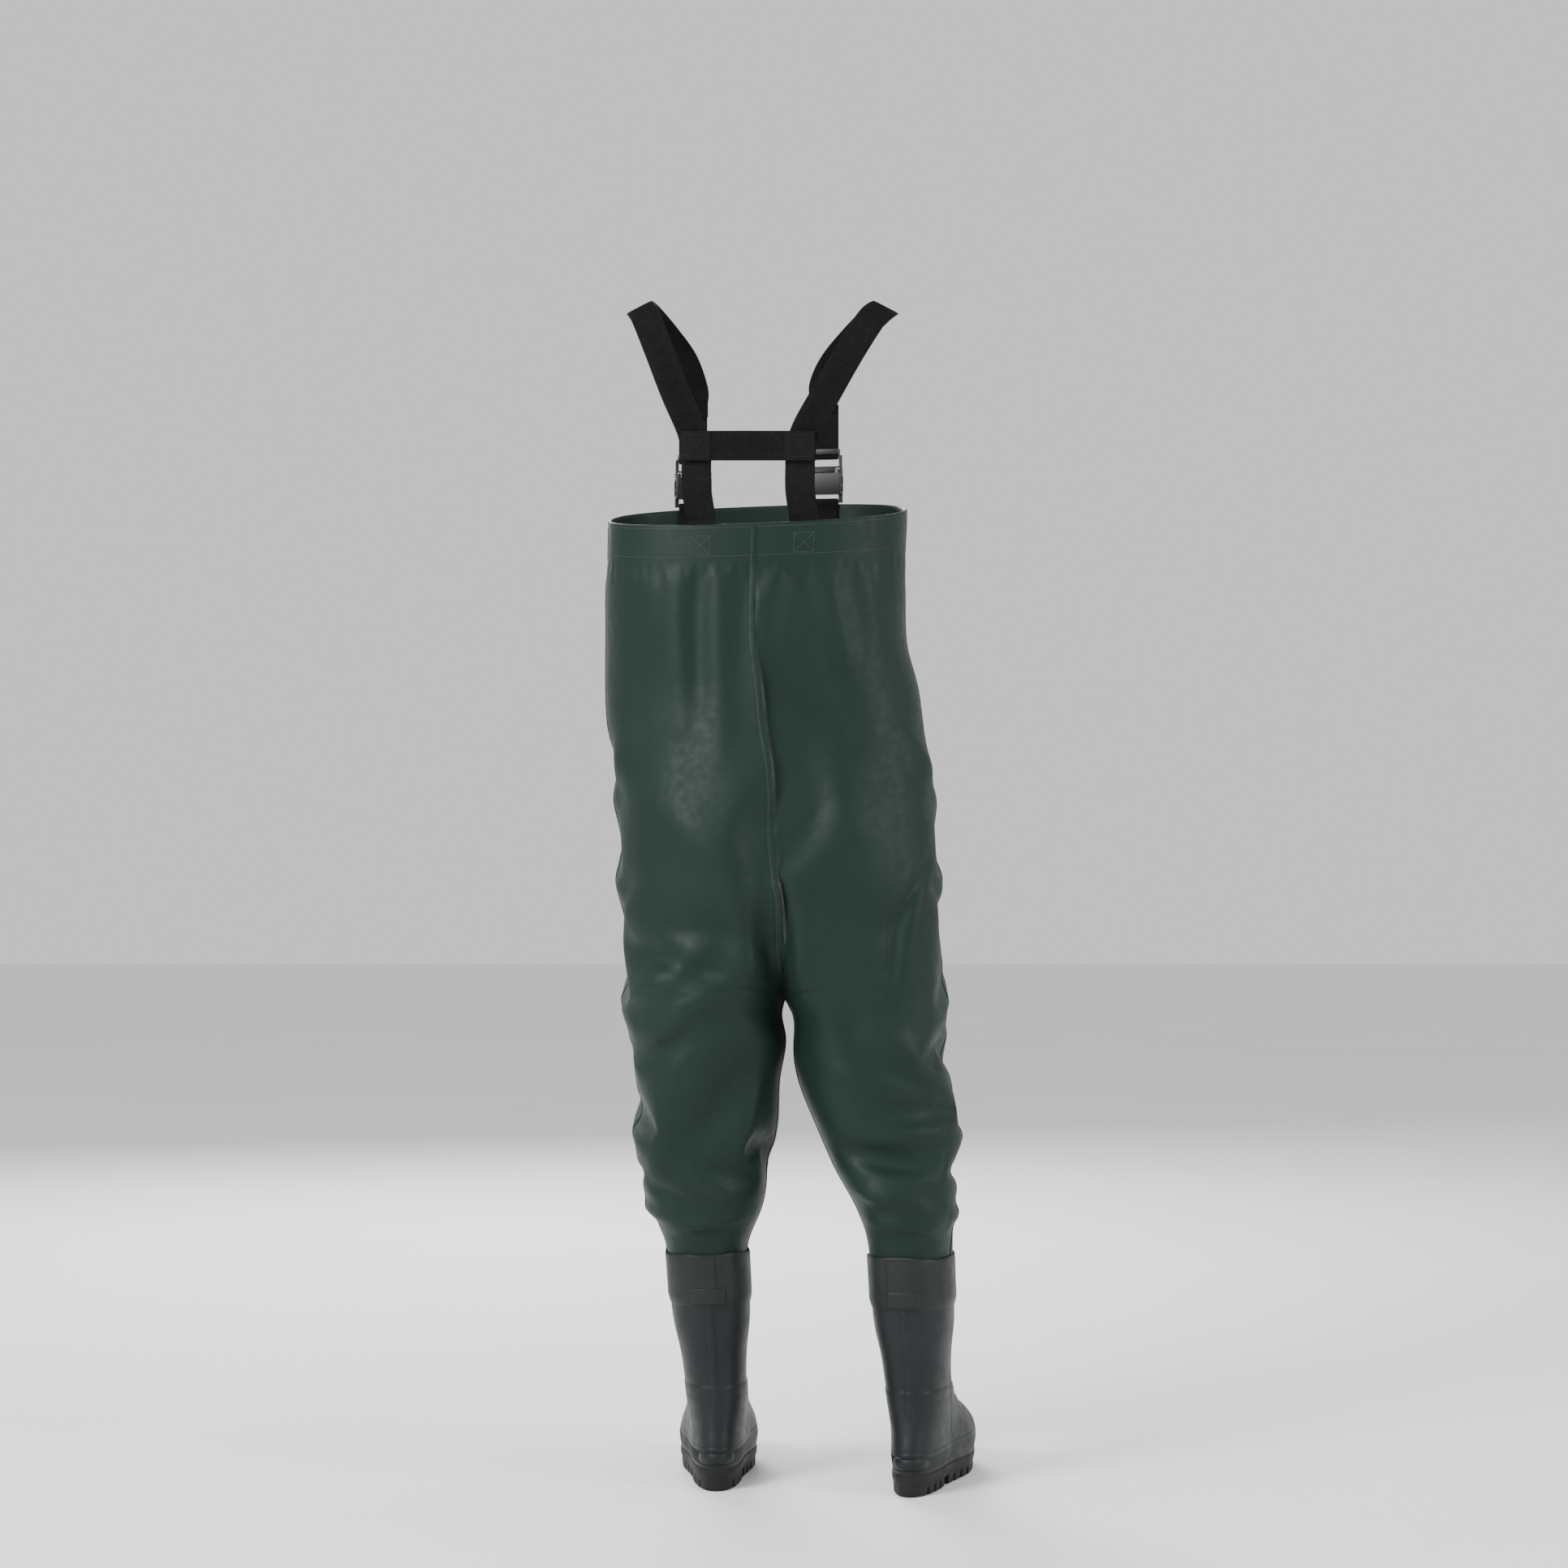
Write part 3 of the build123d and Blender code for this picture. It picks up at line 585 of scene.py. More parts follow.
FRONT_FOLDS = [
    ((-60, 960), (-120, 820), 26, 4.0),
    ((110, 960), (160, 830), 26, 4.0),
    ((40, 985), (20, 840), 22, -3.0),
    ((-20, 960), (-40, 800), 20, 3.0),
    ((100, 800), (24, 716), 24, -5.0),
    ((-60, 800), (-6, 716), 24, -5.0),
    ((180, 760), (60, 690), 24, 5.0),
    ((-170, 760), (-50, 690), 24, 5.0),
    ((14, 770), (12, 640), 16, -7.0),
    ((196, 620), (90, 560), 22, -4.5),
    ((170, 560), (60, 500), 24, 5.5),
    ((-60, 610), (-180, 560), 24, 5.0),
    ((-200, 560), (-110, 500), 20, -4.5),
    ((150, 470), (70, 420), 20, 4.5),
    ((60, 455), (150, 400), 16, -4.0),
    ((60, 380), (150, 360), 12, 4.0),
    ((-100, 470), (-200, 440), 20, 4.5),
    ((-200, 410), (-110, 390), 14, -4.0),
    ((-110, 370), (-190, 356), 11, 4.0),
]
SIDE_FOLDS = [
    ((-90, 1010), (60, 900), 26, -3.0),
    ((90, 1000), (-40, 850), 28, 3.5),
    ((-80, 860), (70, 760), 24, 4.0),
    ((80, 800), (-30, 700), 22, -4.0),
    ((-90, 680), (70, 620), 22, 4.5),
    ((60, 590), (-70, 540), 20, -4.0),
    ((-80, 500), (60, 450), 20, 4.5),
    ((50, 420), (-60, 400), 14, -4.0),
    ((-50, 372), (60, 356), 12, 4.0),
]
INNER_FOLDS = [((-120, 622), (120, 622), 38, -6.5)]
FOLD_VIEWS = [
    (BACK_FOLDS, 0, lambda side, normals: normals[..., 1]),
    (FRONT_FOLDS, 0, lambda side, normals: -normals[..., 1]),
    (SIDE_FOLDS, 1, lambda side, normals: SIDES[side] * normals[..., 0]),
    (INNER_FOLDS, 1, lambda side, normals: -SIDES[side] * normals[..., 0]),
]
FOLD_TAPER = 0.6             # share of its height that a fold loses at its ends
VALLEY = 0.7
FOLD_REACH = 1.4             # how soon a fold is whole as the cloth turns to face its view
SHARE_BEFORE, SHARE_AFTER = 0.9, 0.7     # of every fold, before and after the cloth settles

POCKET_X = (-64, 134)        # part of the front that the pocket holds flat
POCKET_Z = (985, 1190)
POCKET_FADE = 20
HEM_FADE = 26
BOOT_FADE = 40
CHEST_Y = -60                # the pocket's cloth lies in front of this

SETTLING_FRAMES = 26
CLOTH_GROWTH = 0.018         # share by which the cloth grows while it settles, which folds it
LARGEST_MOVE = 14.0
MOVE_FADE = (SHAFT_TOP + 30, SHAFT_TOP + 230)
WEARER_INSET = 17.0
WEARER_COLUMNS = 40
WEARER_STEP = 17
COLLISION_GAP = 0.003        # metres
CLOTH_SETTINGS = {
    "quality": 5, "mass": 0.4, "tension_stiffness": 60, "compression_stiffness": 60,
    "shear_stiffness": 30, "bending_stiffness": 60, "bending_damping": 1, "air_damping": 2,
    "vertex_group_mass": "held", "pin_stiffness": 5,
    "shrink_min": -CLOTH_GROWTH, "shrink_max": -CLOTH_GROWTH,
}


def stroke_height(across, up, stroke):
    """Height of one fold at each point of a view: a ridge with shallow valleys beside it."""
    (x0, z0), (x1, z1), width, height = stroke
    run = np.array([x1 - x0, z1 - z0], float)
    t = np.clip(((across - x0) * run[0] + (up - z0) * run[1]) / (run @ run), 0, 1)
    away = np.hypot(across - x0 - t * run[0], up - z0 - t * run[1]) / width
    taper = 1 - FOLD_TAPER * (2 * t - 1) ** 2
    return height * taper * (1 - VALLEY * away ** 2) * np.exp(-(away ** 1.6))


def held_share(points):
    """How firmly each point is held: 1 on the hem, under the pocket and round the boots."""
    x, y, z = np.moveaxis(points, -1, 0)
    below_hem = RIM + HEM_SLOPE_X * x + HEM_SLOPE_Y * y - z
    hem = 1 - smoothstep(HEM_DEPTH, HEM_DEPTH + HEM_FADE, below_hem)
    boot = 1 - smoothstep(SHAFT_TOP, SHAFT_TOP + BOOT_FADE, z)
    pocket = (y < CHEST_Y) * 1.0
    for (low, high), place in ((POCKET_X, x), (POCKET_Z, z)):
        rise, fall = (low - POCKET_FADE, low), (high, high + POCKET_FADE)
        pocket = pocket * (smoothstep(*rise, place) - smoothstep(*fall, place))
    return np.maximum.reduce([hem, boot, pocket])


def folded(halves, share):
    """Moves the cloth along its normals by a share of every fold."""
    out = {}
    for side, points in halves.items():
        normals = outward(side, points)
        rise = np.zeros(points.shape[:2])
        for strokes, axis, facing in FOLD_VIEWS:
            turned = np.clip(FOLD_REACH * facing(side, normals), 0, 1)
            for stroke in strokes:
                rise += turned * stroke_height(points[..., axis], points[..., 2], stroke)
        rise *= share * (1 - held_share(points))
        out[side] = points + normals * rise[..., None]
    return out


def wearer_shape():
    """Collision object: the garment's undisturbed shape, drawn in."""
    heights = levels(RIM + 15, LEG_END - 10, WEARER_STEP)
    inner = half_grids(heights, WEARER_COLUMNS, -WEARER_INSET)
    close_seams(inner, int(np.argmin(np.abs(heights - CROTCH))))
    vertices, faces, _ = welded(inner)
    wearer = linked("wearer", new_mesh("wearer", vertices * MM, faces))
    wearer.modifiers.new("Collision", "COLLISION")
    wearer.collision.thickness_outer = COLLISION_GAP
    wearer.collision.cloth_friction = 15
    return wearer


def held_cloth(vertices, faces):
    """Cloth object whose held vertices stay in place."""
    cloth = linked("cloth", new_mesh("cloth", vertices * MM, faces))
    group = cloth.vertex_groups.new(name="held")
    for i, share in enumerate(held_share(vertices)):
        if share > 0:
            group.add([i], float(share), "REPLACE")
    modifier = cloth.modifiers.new("Cloth", "CLOTH")
    for name, value in CLOTH_SETTINGS.items():
        setattr(modifier.settings, name, value)
    modifier.settings.effector_weights.gravity = 0.25
    modifier.collision_settings.distance_min = COLLISION_GAP
    modifier.collision_settings.use_self_collision = False
    modifier.point_cache.frame_end = SETTLING_FRAMES
    return cloth


def simulate(halves):
    """Lets the cloth settle on the wearer's shape, a little too large for it, and returns it."""
    vertices, faces, numbers = welded(halves)
    cloth, wearer = held_cloth(vertices, faces), wearer_shape()
    scene = bpy.context.scene
    scene.frame_end = SETTLING_FRAMES
    for step in range(1, SETTLING_FRAMES + 1):
        scene.frame_set(step)
    settled = cloth.evaluated_get(bpy.context.evaluated_depsgraph_get()).data
    moved = np.zeros(vertices.size)
    settled.vertices.foreach_get("co", moved)
    scene.frame_set(1)
    for piece in (cloth, wearer):
        bpy.data.objects.remove(piece)
    change = moved.reshape(-1, 3) / MM - vertices
    length = np.linalg.norm(change, axis=1, keepdims=True)
    change *= np.minimum(1, LARGEST_MOVE / np.maximum(length, 1e-6))
    change *= smoothstep(*MOVE_FADE, vertices[:, 2:])
    return {side: (vertices + change)[number] for side, number in numbers.items()}


def make_cloth():
    """The garment's surface as two refined half grids."""
    halves = half_grids(GARMENT_LEVELS, COLUMNS)
    close_seams(halves, CROTCH_ROW)
    halves = folded(halves, SHARE_BEFORE)
    halves = simulate(halves)
    halves = folded(halves, SHARE_AFTER)
    halves = {side: refined(points) for side, points in halves.items()}
    close_seams(halves, FINE_CROTCH)
    return halves


LAST = FINER * COLUMNS       # the last column, at the back seam or the inseam
OUTSEAM = LAST // 2
FINE_CROTCH = FINER * CROTCH_ROW
HEM_ROWS = int(round(HEM_DEPTH / ROW_STEP * FINER))
CLOTH = make_cloth()
NORMALS = {side: outward(side, points) for side, points in CLOTH.items()}


def cloth_line(side, rows, column, out=0.0):
    """Points and normals on the cloth along rows at a fractional column."""
    points = catmull(CLOTH[side].transpose(1, 0, 2), [column])[0][rows]
    normals = unit(catmull(NORMALS[side].transpose(1, 0, 2), [column])[0][rows])
    return points + normals * out, normals


def column_spacing(side):
    """Length of cloth between two columns at the middle of the trunk, in millimetres."""
    steps = np.diff(CLOTH[side][FINE_CROTCH // 2], axis=0)
    return float(np.linalg.norm(steps, axis=1).mean())


# ---- thread -------------------------------------------------------------------------------------
STITCH_SIDES = turns(6)
# Along a stitch and across it, as shares of its length and its radius.
STITCH_RINGS = [(-0.5, 0.0), (-0.44, 0.7), (-0.25, 1.0), (0.25, 1.0), (0.44, 0.7), (0.5, 0.0)]


def stitches(name, lines, thread, body="garment", pitch=STITCH_PITCH):
    """Rows of thread stitches; each line is points on the surface and their normals."""
    vertices, faces = [], []
    for points, normals in lines:
        run = lengths_of(points)
        count = int(run[-1] / pitch)
        marks = (np.arange(count) + 0.5) * run[-1] / max(1, count)
        along = unit(at_lengths(points, run, marks + 0.5) - at_lengths(points, run, marks - 0.5))
        up = unit(at_lengths(normals, run, marks))
        for m, a, c, u in zip(at_lengths(points, run, marks), along, unit(np.cross(up, along)), up):
            faces += grid_faces(len(STITCH_RINGS), len(STITCH_SIDES), True, False, len(vertices))
            for x, radius in STITCH_RINGS:
                for turn in STITCH_SIDES:
                    ring = c * math.cos(turn) + u * (0.8 * math.sin(turn) + 0.25)
                    vertices.append(m + a * x * STITCH_LENGTH + ring * radius * STITCH_RADIUS)
    return mesh_object(name, placed(vertices), faces, thread, body, sharp=0)


def facing(direction, lines):
    """Lines of stitches on a face that looks one way."""
    return [(points, [direction] * len(points)) for points in lines]


# ---- straps -------------------------------------------------------------------------------------
RIB_PITCH = 2.3              # of the elastic, and the height of its ribs
RIB = 0.75
STRAP_STEP = 4.0
STRAP_ACROSS = 9             # points across each face, closer together at the selvedges
EDGE_POWER = 10


def strap_rings(route, across, normal, half):
    """Sections of a strap with rounded selvedges, from its half thickness at each point."""
    place = np.sin(np.linspace(-math.pi / 2, math.pi / 2, STRAP_ACROSS))
    edge = np.sqrt(np.maximum(0, 1 - np.abs(place) ** EDGE_POWER))
    place, edge = np.concatenate([place, place[::-1]]), np.concatenate([edge, -edge[::-1]])
    sideways = across[:, None] * (place * WEBBING_WIDTH / 2)[None, :, None]
    return route[:, None] + sideways + normal[:, None] * (half[:, None] * edge)[..., None]


def strap(name, points, normals, thickness, material, rib=0.0, **facts):
    """Flat strap along a smooth route; a rib height gives it ribs across its width."""
    both = np.hstack([np.asarray(points, float), np.asarray(normals, float)])
    spacing = RIB_PITCH / 4 if rib else STRAP_STEP
    count = max(4, int(lengths_of(both[:, :3])[-1] / spacing))
    both = by_length(catmull(both, np.linspace(0, len(both) - 1, 30 * len(both))), count)
    route = both[:, :3]
    along = unit(np.gradient(route, axis=0))
    across = unit(np.cross(both[:, 3:], along))
    wave = np.cos(2 * math.pi * np.arange(count) * spacing / RIB_PITCH)
    rings = strap_rings(route, across, np.cross(along, across), (thickness - rib + rib * wave) / 2)
    return grid(name, rings, material, around=True, caps=True, flip=True, sharp=60, **facts)


# Distance from the harness's middle line, the middle line's X, Y, Z, roll, and how far the face
# leans from up towards the back.
SHOULDER_ROUTE = [
    (102, 33, -116, 1489, 8, -62),
    (126, 31, -90, 1518, 18, -38),
    (150, 29, -40, 1540, 25, -14),
    (161, 28, 20, 1543, 27, 12),
    (147, 32, 76, 1524, 22, 34),
    (124, 37, 117, 1478, 14, 60),
    (97, 42, 141, 1420, 6, 76),
    (72, 45, 150.4, 1368, 1, 88),
    (66, 45.5, 151.0, 1334, 0, 90),
]
SHOULDER_FOOT = (82, 101, 120)
SHOULDER_BEHIND = 6.8
CROSS_HEIGHT = 1350
CROSS_MIDDLE = 45.5
CROSS_SPACING = 66
CROSS_BACK = 153.6
CROSS_HALF_LENGTH = 86
CROSS_BULGE = 1.5            # how far the cross strap's middle stands behind its ends
PATCH_OUT = 0.7              # of the patch sewn over each end of the cross strap
PATCH_THICKNESS = 1.3
PATCH_ROUTE = (-18.5, -6, 6, 18.5)       # heights from the cross strap's middle
PATCH_BOX = (15, 14)         # half width and half height of its stitches
PATCH_STITCH_OUT = 0.75
BACK_RISE = [(139, 1296), (146.5, 1330), (148.4, 1366)]
BACK_MIDDLE = 40.5
BACK_SPACING = 66.5
BACK_SETBACK = 5.7
PIVOT_HEIGHT = 4             # of the prongs' pivots above a buckle's origin
BACKWARD = (0, 1, 0)


class Buckle:
    """Frame of a buckle: X across, -Y outward and Z up from where its halves meet."""

    def __init__(self, side):
        pivots = [JOINTS[f"{side}_{hand}_prong_press"] for hand in SIDES]
        middle = sum(np.array(pivot["pos_m"]) for pivot in pivots) / 2
        self.origin = (middle - HERE) / MM - np.array([0, 0, PIVOT_HEIGHT])
        self.inward = unit(np.array(pivots[0]["axis"], float))
        self.across = np.cross(self.inward, [0, 0, 1])

    def points(self, local):
        return self.origin + np.asarray(local, float) @ [self.across, self.inward, (0, 0, 1)]


BUCKLES = {side: Buckle(side) for side in SIDES}


def hem_point(side, x, facing_y):
    """Point, level normal and column on the rim at an X, on the front (-1) or the back (1)."""
    half = CLOTH[side][0]
    columns = np.arange(len(half))
    part = columns <= OUTSEAM if facing_y < 0 else columns >= OUTSEAM
    order = np.argsort(half[part, 0])
    place = np.interp(x, half[part, 0][order], columns[part][order])
    normal = catmull(NORMALS[side][0], [place])[0] * (1, 1, 0)
    return catmull(half, [place])[0], unit(normal), place


def make_shoulder_strap(side):
    sign, buckle = SIDES[side], BUCKLES[side]
    points = [buckle.points((0, SHOULDER_BEHIND, z)) for z in SHOULDER_FOOT]
    normals = [-buckle.inward] * len(points)
    for spread, middle, y, z, *turned in SHOULDER_ROUTE:
        points.append((middle + sign * spread, y, z))
        roll, lean_back = np.radians(turned)
        level = math.cos(roll)
        normals.append((sign * math.sin(roll), level * math.sin(lean_back), level * math.cos(lean_back)))
    node_name = f"{side}_shoulder_strap"
    strap(
        f"{node_name}_elastic", points, normals, ELASTIC, ELASTIC_CLOTH, rib=RIB,
        replaces=[node_name], slot="elastic",
    )


def make_back_webbing(side):
    hem, normal, _ = hem_point(side, BACK_MIDDLE + SIDES[side] * BACK_SPACING, 1)
    points = [hem - normal * BACK_SETBACK + (0, 0, rise) for rise in (6 - HEM_DEPTH, -18, 0, 8)]
    normals = [normal] * len(points) + [BACKWARD] * len(BACK_RISE)
    points += [(CROSS_MIDDLE + SIDES[side] * CROSS_SPACING, y, z) for y, z in BACK_RISE]
    node_name = f"{side}_back_webbing"
    strap(f"{node_name}_strap", points, normals, WEBBING, STRAP, replaces=[node_name], slot="webbing")


def box_with_cross(half_width, half_height):
    """Sides and diagonals of the usual box and cross of stitches, in a plane."""
    w, h = half_width, half_height
    return [
        [(-w, -h), (w, -h)], [(w, -h), (w, h)], [(w, h), (-w, h)], [(-w, h), (-w, -h)],
        [(-w, -h), (w, h)], [(w, -h), (-w, h)],
    ]


def make_cross_strap():
    route = [(CROSS_MIDDLE + s * CROSS_HALF_LENGTH, CROSS_BACK, CROSS_HEIGHT) for s in (-1, 0, 1)]
    route = np.array(route) + [(0, 0, 0), (0, CROSS_BULGE, 0), (0, 0, 0)]
    strap(
        "cross_strap_elastic", route, [BACKWARD] * 3, ELASTIC, ELASTIC_CLOTH, rib=RIB,
        replaces=["cross_strap"], slot="elastic",
    )
    lines = []
    for side, sign in SIDES.items():
        x = CROSS_MIDDLE + sign * CROSS_SPACING
        face = CROSS_BACK + ELASTIC / 2 + PATCH_OUT
        points = [(x, face, CROSS_HEIGHT + z) for z in PATCH_ROUTE]
        strap(f"{side}_cross_patch", points, [BACKWARD] * 4, PATCH_THICKNESS, STRAP, slot="webbing")
        for corners in box_with_cross(*PATCH_BOX):
            lines.append([(x + px, face + PATCH_STITCH_OUT, CROSS_HEIGHT + pz) for px, pz in corners])
    stitches("cross_stitches", facing(BACKWARD, lines), BLACK_THREAD)


def flat_strap(name, buckle, path, **facts):
    """Webbing along a path of (y, z) in a buckle's frame."""
    path = np.asarray(path, float)
    tangent = unit(np.gradient(path, axis=0))
    level = np.zeros(len(path))
    normals = buckle.points(np.column_stack([level, tangent[:, 1], -tangent[:, 0]])) - buckle.origin
    across = np.tile(buckle.across, (len(path), 1))
    route = buckle.points(np.column_stack([level, path]))
    rings = strap_rings(route, across, normals, level + WEBBING / 2)
    grid(name, rings, STRAP, around=True, caps=True, slot="webbing", **facts)


def arc(centre, radius, start, end, count=13):
    angles = np.radians(np.linspace(start, end, count))
    return [(centre[0] + radius * math.cos(a), centre[1] + radius * math.sin(a)) for a in angles]


def line(start, end, step=6.0):
    """Points from start to end, without the end itself."""
    count = max(2, int(math.dist(start, end) / step))
    return [tuple(np.array(start) + (np.array(end) - start) * i / count) for i in range(count)]


# ---- garment ------------------------------------------------------------------------------------
HEM_LAP = 0.2                # gap between the layers of the hem
HEM_STITCH_DEPTHS = (HEM_DEPTH - 2.5, 4.0)
HEM_STITCH_OUT = 0.1
HEM_STITCH_PITCH = 3.4
HEM_BOX = (14, 13)           # half width and half height of the stitches that hold a strap's end
HEM_BOX_DEPTH = 27
HEM_BOX_OUT = 0.12
TRUNK_RADIUS = 170           # that turns an angle round the trunk into a length of cloth


def hem_rows(side):
    """Rows that carry the rim over and down inside as the hem's facing."""
    points, normals = CLOTH[side], NORMALS[side]
    rows = []
    for turn in np.radians((30, 65, 100, 135, 165)):
        back = ROLL * (1 - math.cos(turn))
        rows.append(points[0] - normals[0] * back + (0, 0, ROLL * math.sin(turn)))
    for r in range(HEM_ROWS + 1):
        inset = 2 * ROLL if r < HEM_ROWS else LAYER
        rows.append(points[r] - normals[r] * (inset + HEM_LAP))
    return np.array(rows[::-1])


def make_garment():
    shells = {side: np.vstack([hem_rows(side), CLOTH[side]]) for side in SIDES}
    extra = len(shells["left"]) - len(CLOTH["left"])
    close_seams(shells, FINE_CROTCH + extra)
    vertices, faces, _ = welded(shells)
    nodes = [f"{face}_{side}_panel" for face in ("front", "back") for side in SIDES]
    piece = mesh_object(
        "garment_shell", placed(vertices), faces, FABRIC, "garment", sharp=0,
        replaces=nodes + ["hem_facing"], slot="coated_fabric",
    )
    around = np.arctan2(vertices[:, 1], vertices[:, 0] - BACK_MIDDLE) * TRUNK_RADIUS
    set_uv(piece, np.column_stack([around, vertices[:, 2]]))
    coarse = (slice(HEM_ROWS - 2, None, FINER), slice(None, None, FINER))
    for side in SIDES:
        inside = CLOTH[side][coarse] - NORMALS[side][coarse] * LINING_DEPTH
        grid(f"{side}_garment_lining", inside, LINING, flip=SIDES[side] < 0, slot="lining")


SEAM_LIFT = 0.9
SEAM_STITCH = 0.68           # share of a seam's width at which it is topstitched
SEAM_END = 10                # rows by which the leg seams end above the cloth's end
CROTCH_GAP = 3               # rows left free at the crotch, where four panels meet


def seam_strip(name, side, column, toward, rows, width, node_name):
    """Lapped edge of cloth along a seam; toward says which way it lies from the column."""
    spacing = column_spacing(side)
    edge = [(0.0, -0.3), (0.25, 0.7 * SEAM_LIFT), (1.0, SEAM_LIFT)]
    steps = edge + [(width - x, out) for x, out in edge[::-1]]
    lines = [cloth_line(side, rows, column + toward * x / spacing, out)[0] for x, out in steps]
    grid(
        name, np.array(lines).transpose(1, 0, 2), FABRIC, flip=toward * SIDES[side] < 0, sharp=0,
        replaces=[node_name], slot="coated_fabric",
    )


def make_seams():
    """Lapped seams with their topstitches: middle back and front, outseams and inseams."""
    end = len(CLOTH["left"]) - SEAM_END
    trunk, whole = slice(0, FINE_CROTCH - CROTCH_GAP), slice(0, end)
    leg = slice(FINE_CROTCH + CROTCH_GAP, end)
    seams = [
        ("back_seam", "left", LAST, -1, trunk, 9.0),
        ("front_seam", "left", 0, 1, trunk, 9.0),
    ]
    for side in SIDES:
        seams.append((f"{side}_outseam", side, OUTSEAM, 1, whole, 8.0))
        seams.append((f"{side}_inseam", side, LAST, -1, leg, 8.0))
    lines = []
    for name, side, column, toward, rows, width in seams:
        seam_strip(name, side, column, toward, rows, width, f"{name}_tape")
        stitched = slice(rows.start + 2, rows.stop)
        place = column + toward * SEAM_STITCH * width / column_spacing(side)
        lines.append(cloth_line(side, stitched, place, SEAM_LIFT + 0.05))
    stitches("seam_stitches", lines, THREAD)


def rim_line(side, depth, columns, out):
    """Points and normals along the hem at a depth below the rim."""
    row = depth / ROW_STEP * FINER
    points = catmull(CLOTH[side], [row])[0]
    normals = unit(catmull(NORMALS[side], [row])[0])
    return catmull(points + normals * out, columns), unit(catmull(normals, columns))


def make_hem_stitches():
    lines = []
    columns = np.arange(0, LAST + 0.5, 0.5)
    for side in SIDES:
        lines += [rim_line(side, depth, columns, HEM_STITCH_OUT) for depth in HEM_STITCH_DEPTHS]
    for side in SIDES:
        lines += hem_boxes(side, BACK_MIDDLE + SIDES[side] * BACK_SPACING, 1)
        lines += hem_boxes(side, BUCKLES[side].origin[0], -1)
    stitches("hem_stitches", lines, THREAD, pitch=HEM_STITCH_PITCH)


def hem_boxes(side, x, facing_y):
    """Box and cross of stitches where a strap end is sewn inside the hem."""
    spacing = column_spacing(side)
    lines = []
    place = hem_point(side, x, facing_y)[2]
    for start, end in box_with_cross(*HEM_BOX):
        path = line(start, end, 2.0) + [end]
        dots = [
            rim_line(side, HEM_BOX_DEPTH - pz, [place + px / spacing], HEM_BOX_OUT) for px, pz in path
        ]
        lines.append(([point[0] for point, _ in dots], [normal[0] for _, normal in dots]))
    return lines


# ---- chest pocket -------------------------------------------------------------------------------
POCKET_MIDDLE = 34.5
POCKET_HALF_WIDTH = 95
POCKET_TOP = 1165
POCKET_BOTTOM = 1000
POCKET_DEPTH = 14.2          # of its face, before the crown
POCKET_WALL = 1.4
POCKET_GRID = (61, 46)       # points across and down
POCKET_STITCH_ROWS = (42, 38)
POCKET_STITCH_COLUMNS = (9, 51)
FLAP_LENGTH = 62
FLAP_HALF_WIDTH = 98
FLAP_OUT = 21.5
FLAP_THICKNESS = 2.2
FLAP_GRID = (73, 33)
FLAP_CORNER = (0.86, 14)     # where a corner's rounding starts across, and how far it rises
FLAP_STITCHES = [(2, 30), (4, 27)]       # column and row of the grid for each line of stitches
TURNED_EDGE = 1.6
CLOSURE = [("pocket_loop_strip", 17.1, "garment"), ("flap_hook_strip", 18.9, "pocket_flap")]
CLOSURE_HALF_WIDTH = 70
CLOSURE_DROP = (25, 50)      # of its top and bottom below the pocket's top
CLOSURE_THICKNESS = 1.1
FRONTWARD = (0, -1, 0)


def front_surface(x, z, out):
    """Points on the undisturbed front at an X and a height before the hem's slope."""
    rows = garment_rows("left")
    x, z, out = np.broadcast_arrays(np.asarray(x, float), z, out)
    result = np.zeros(x.shape + (3,))
    for place in np.ndindex(x.shape):
        outer, inner, front, back, _, slope, _ = row_at(rows, z[place])
        share = min(1, abs((x[place] - inner) / (outer - inner)))
        y = (front + back) / 2 - (back - front) / 2 * rest_of(share) - out[place]
        tilt = slope * (HEM_SLOPE_X * x[place] + HEM_SLOPE_Y * y)
        result[place] = (x[place], y, z[place] + tilt)
    return result


def front_slab(name, x, z, outer_out, inner_out, material, **facts):
    """Closed sheet between two distances from the front; returns its outer face."""
    outer, inner = front_surface(x, z, outer_out), front_surface(x, z, inner_out)
    loops = [np.vstack([row, behind[::-1]]) for row, behind in zip(outer, inner)]
    grid(name, loops, material, around=True, caps=True, **facts)
    return outer


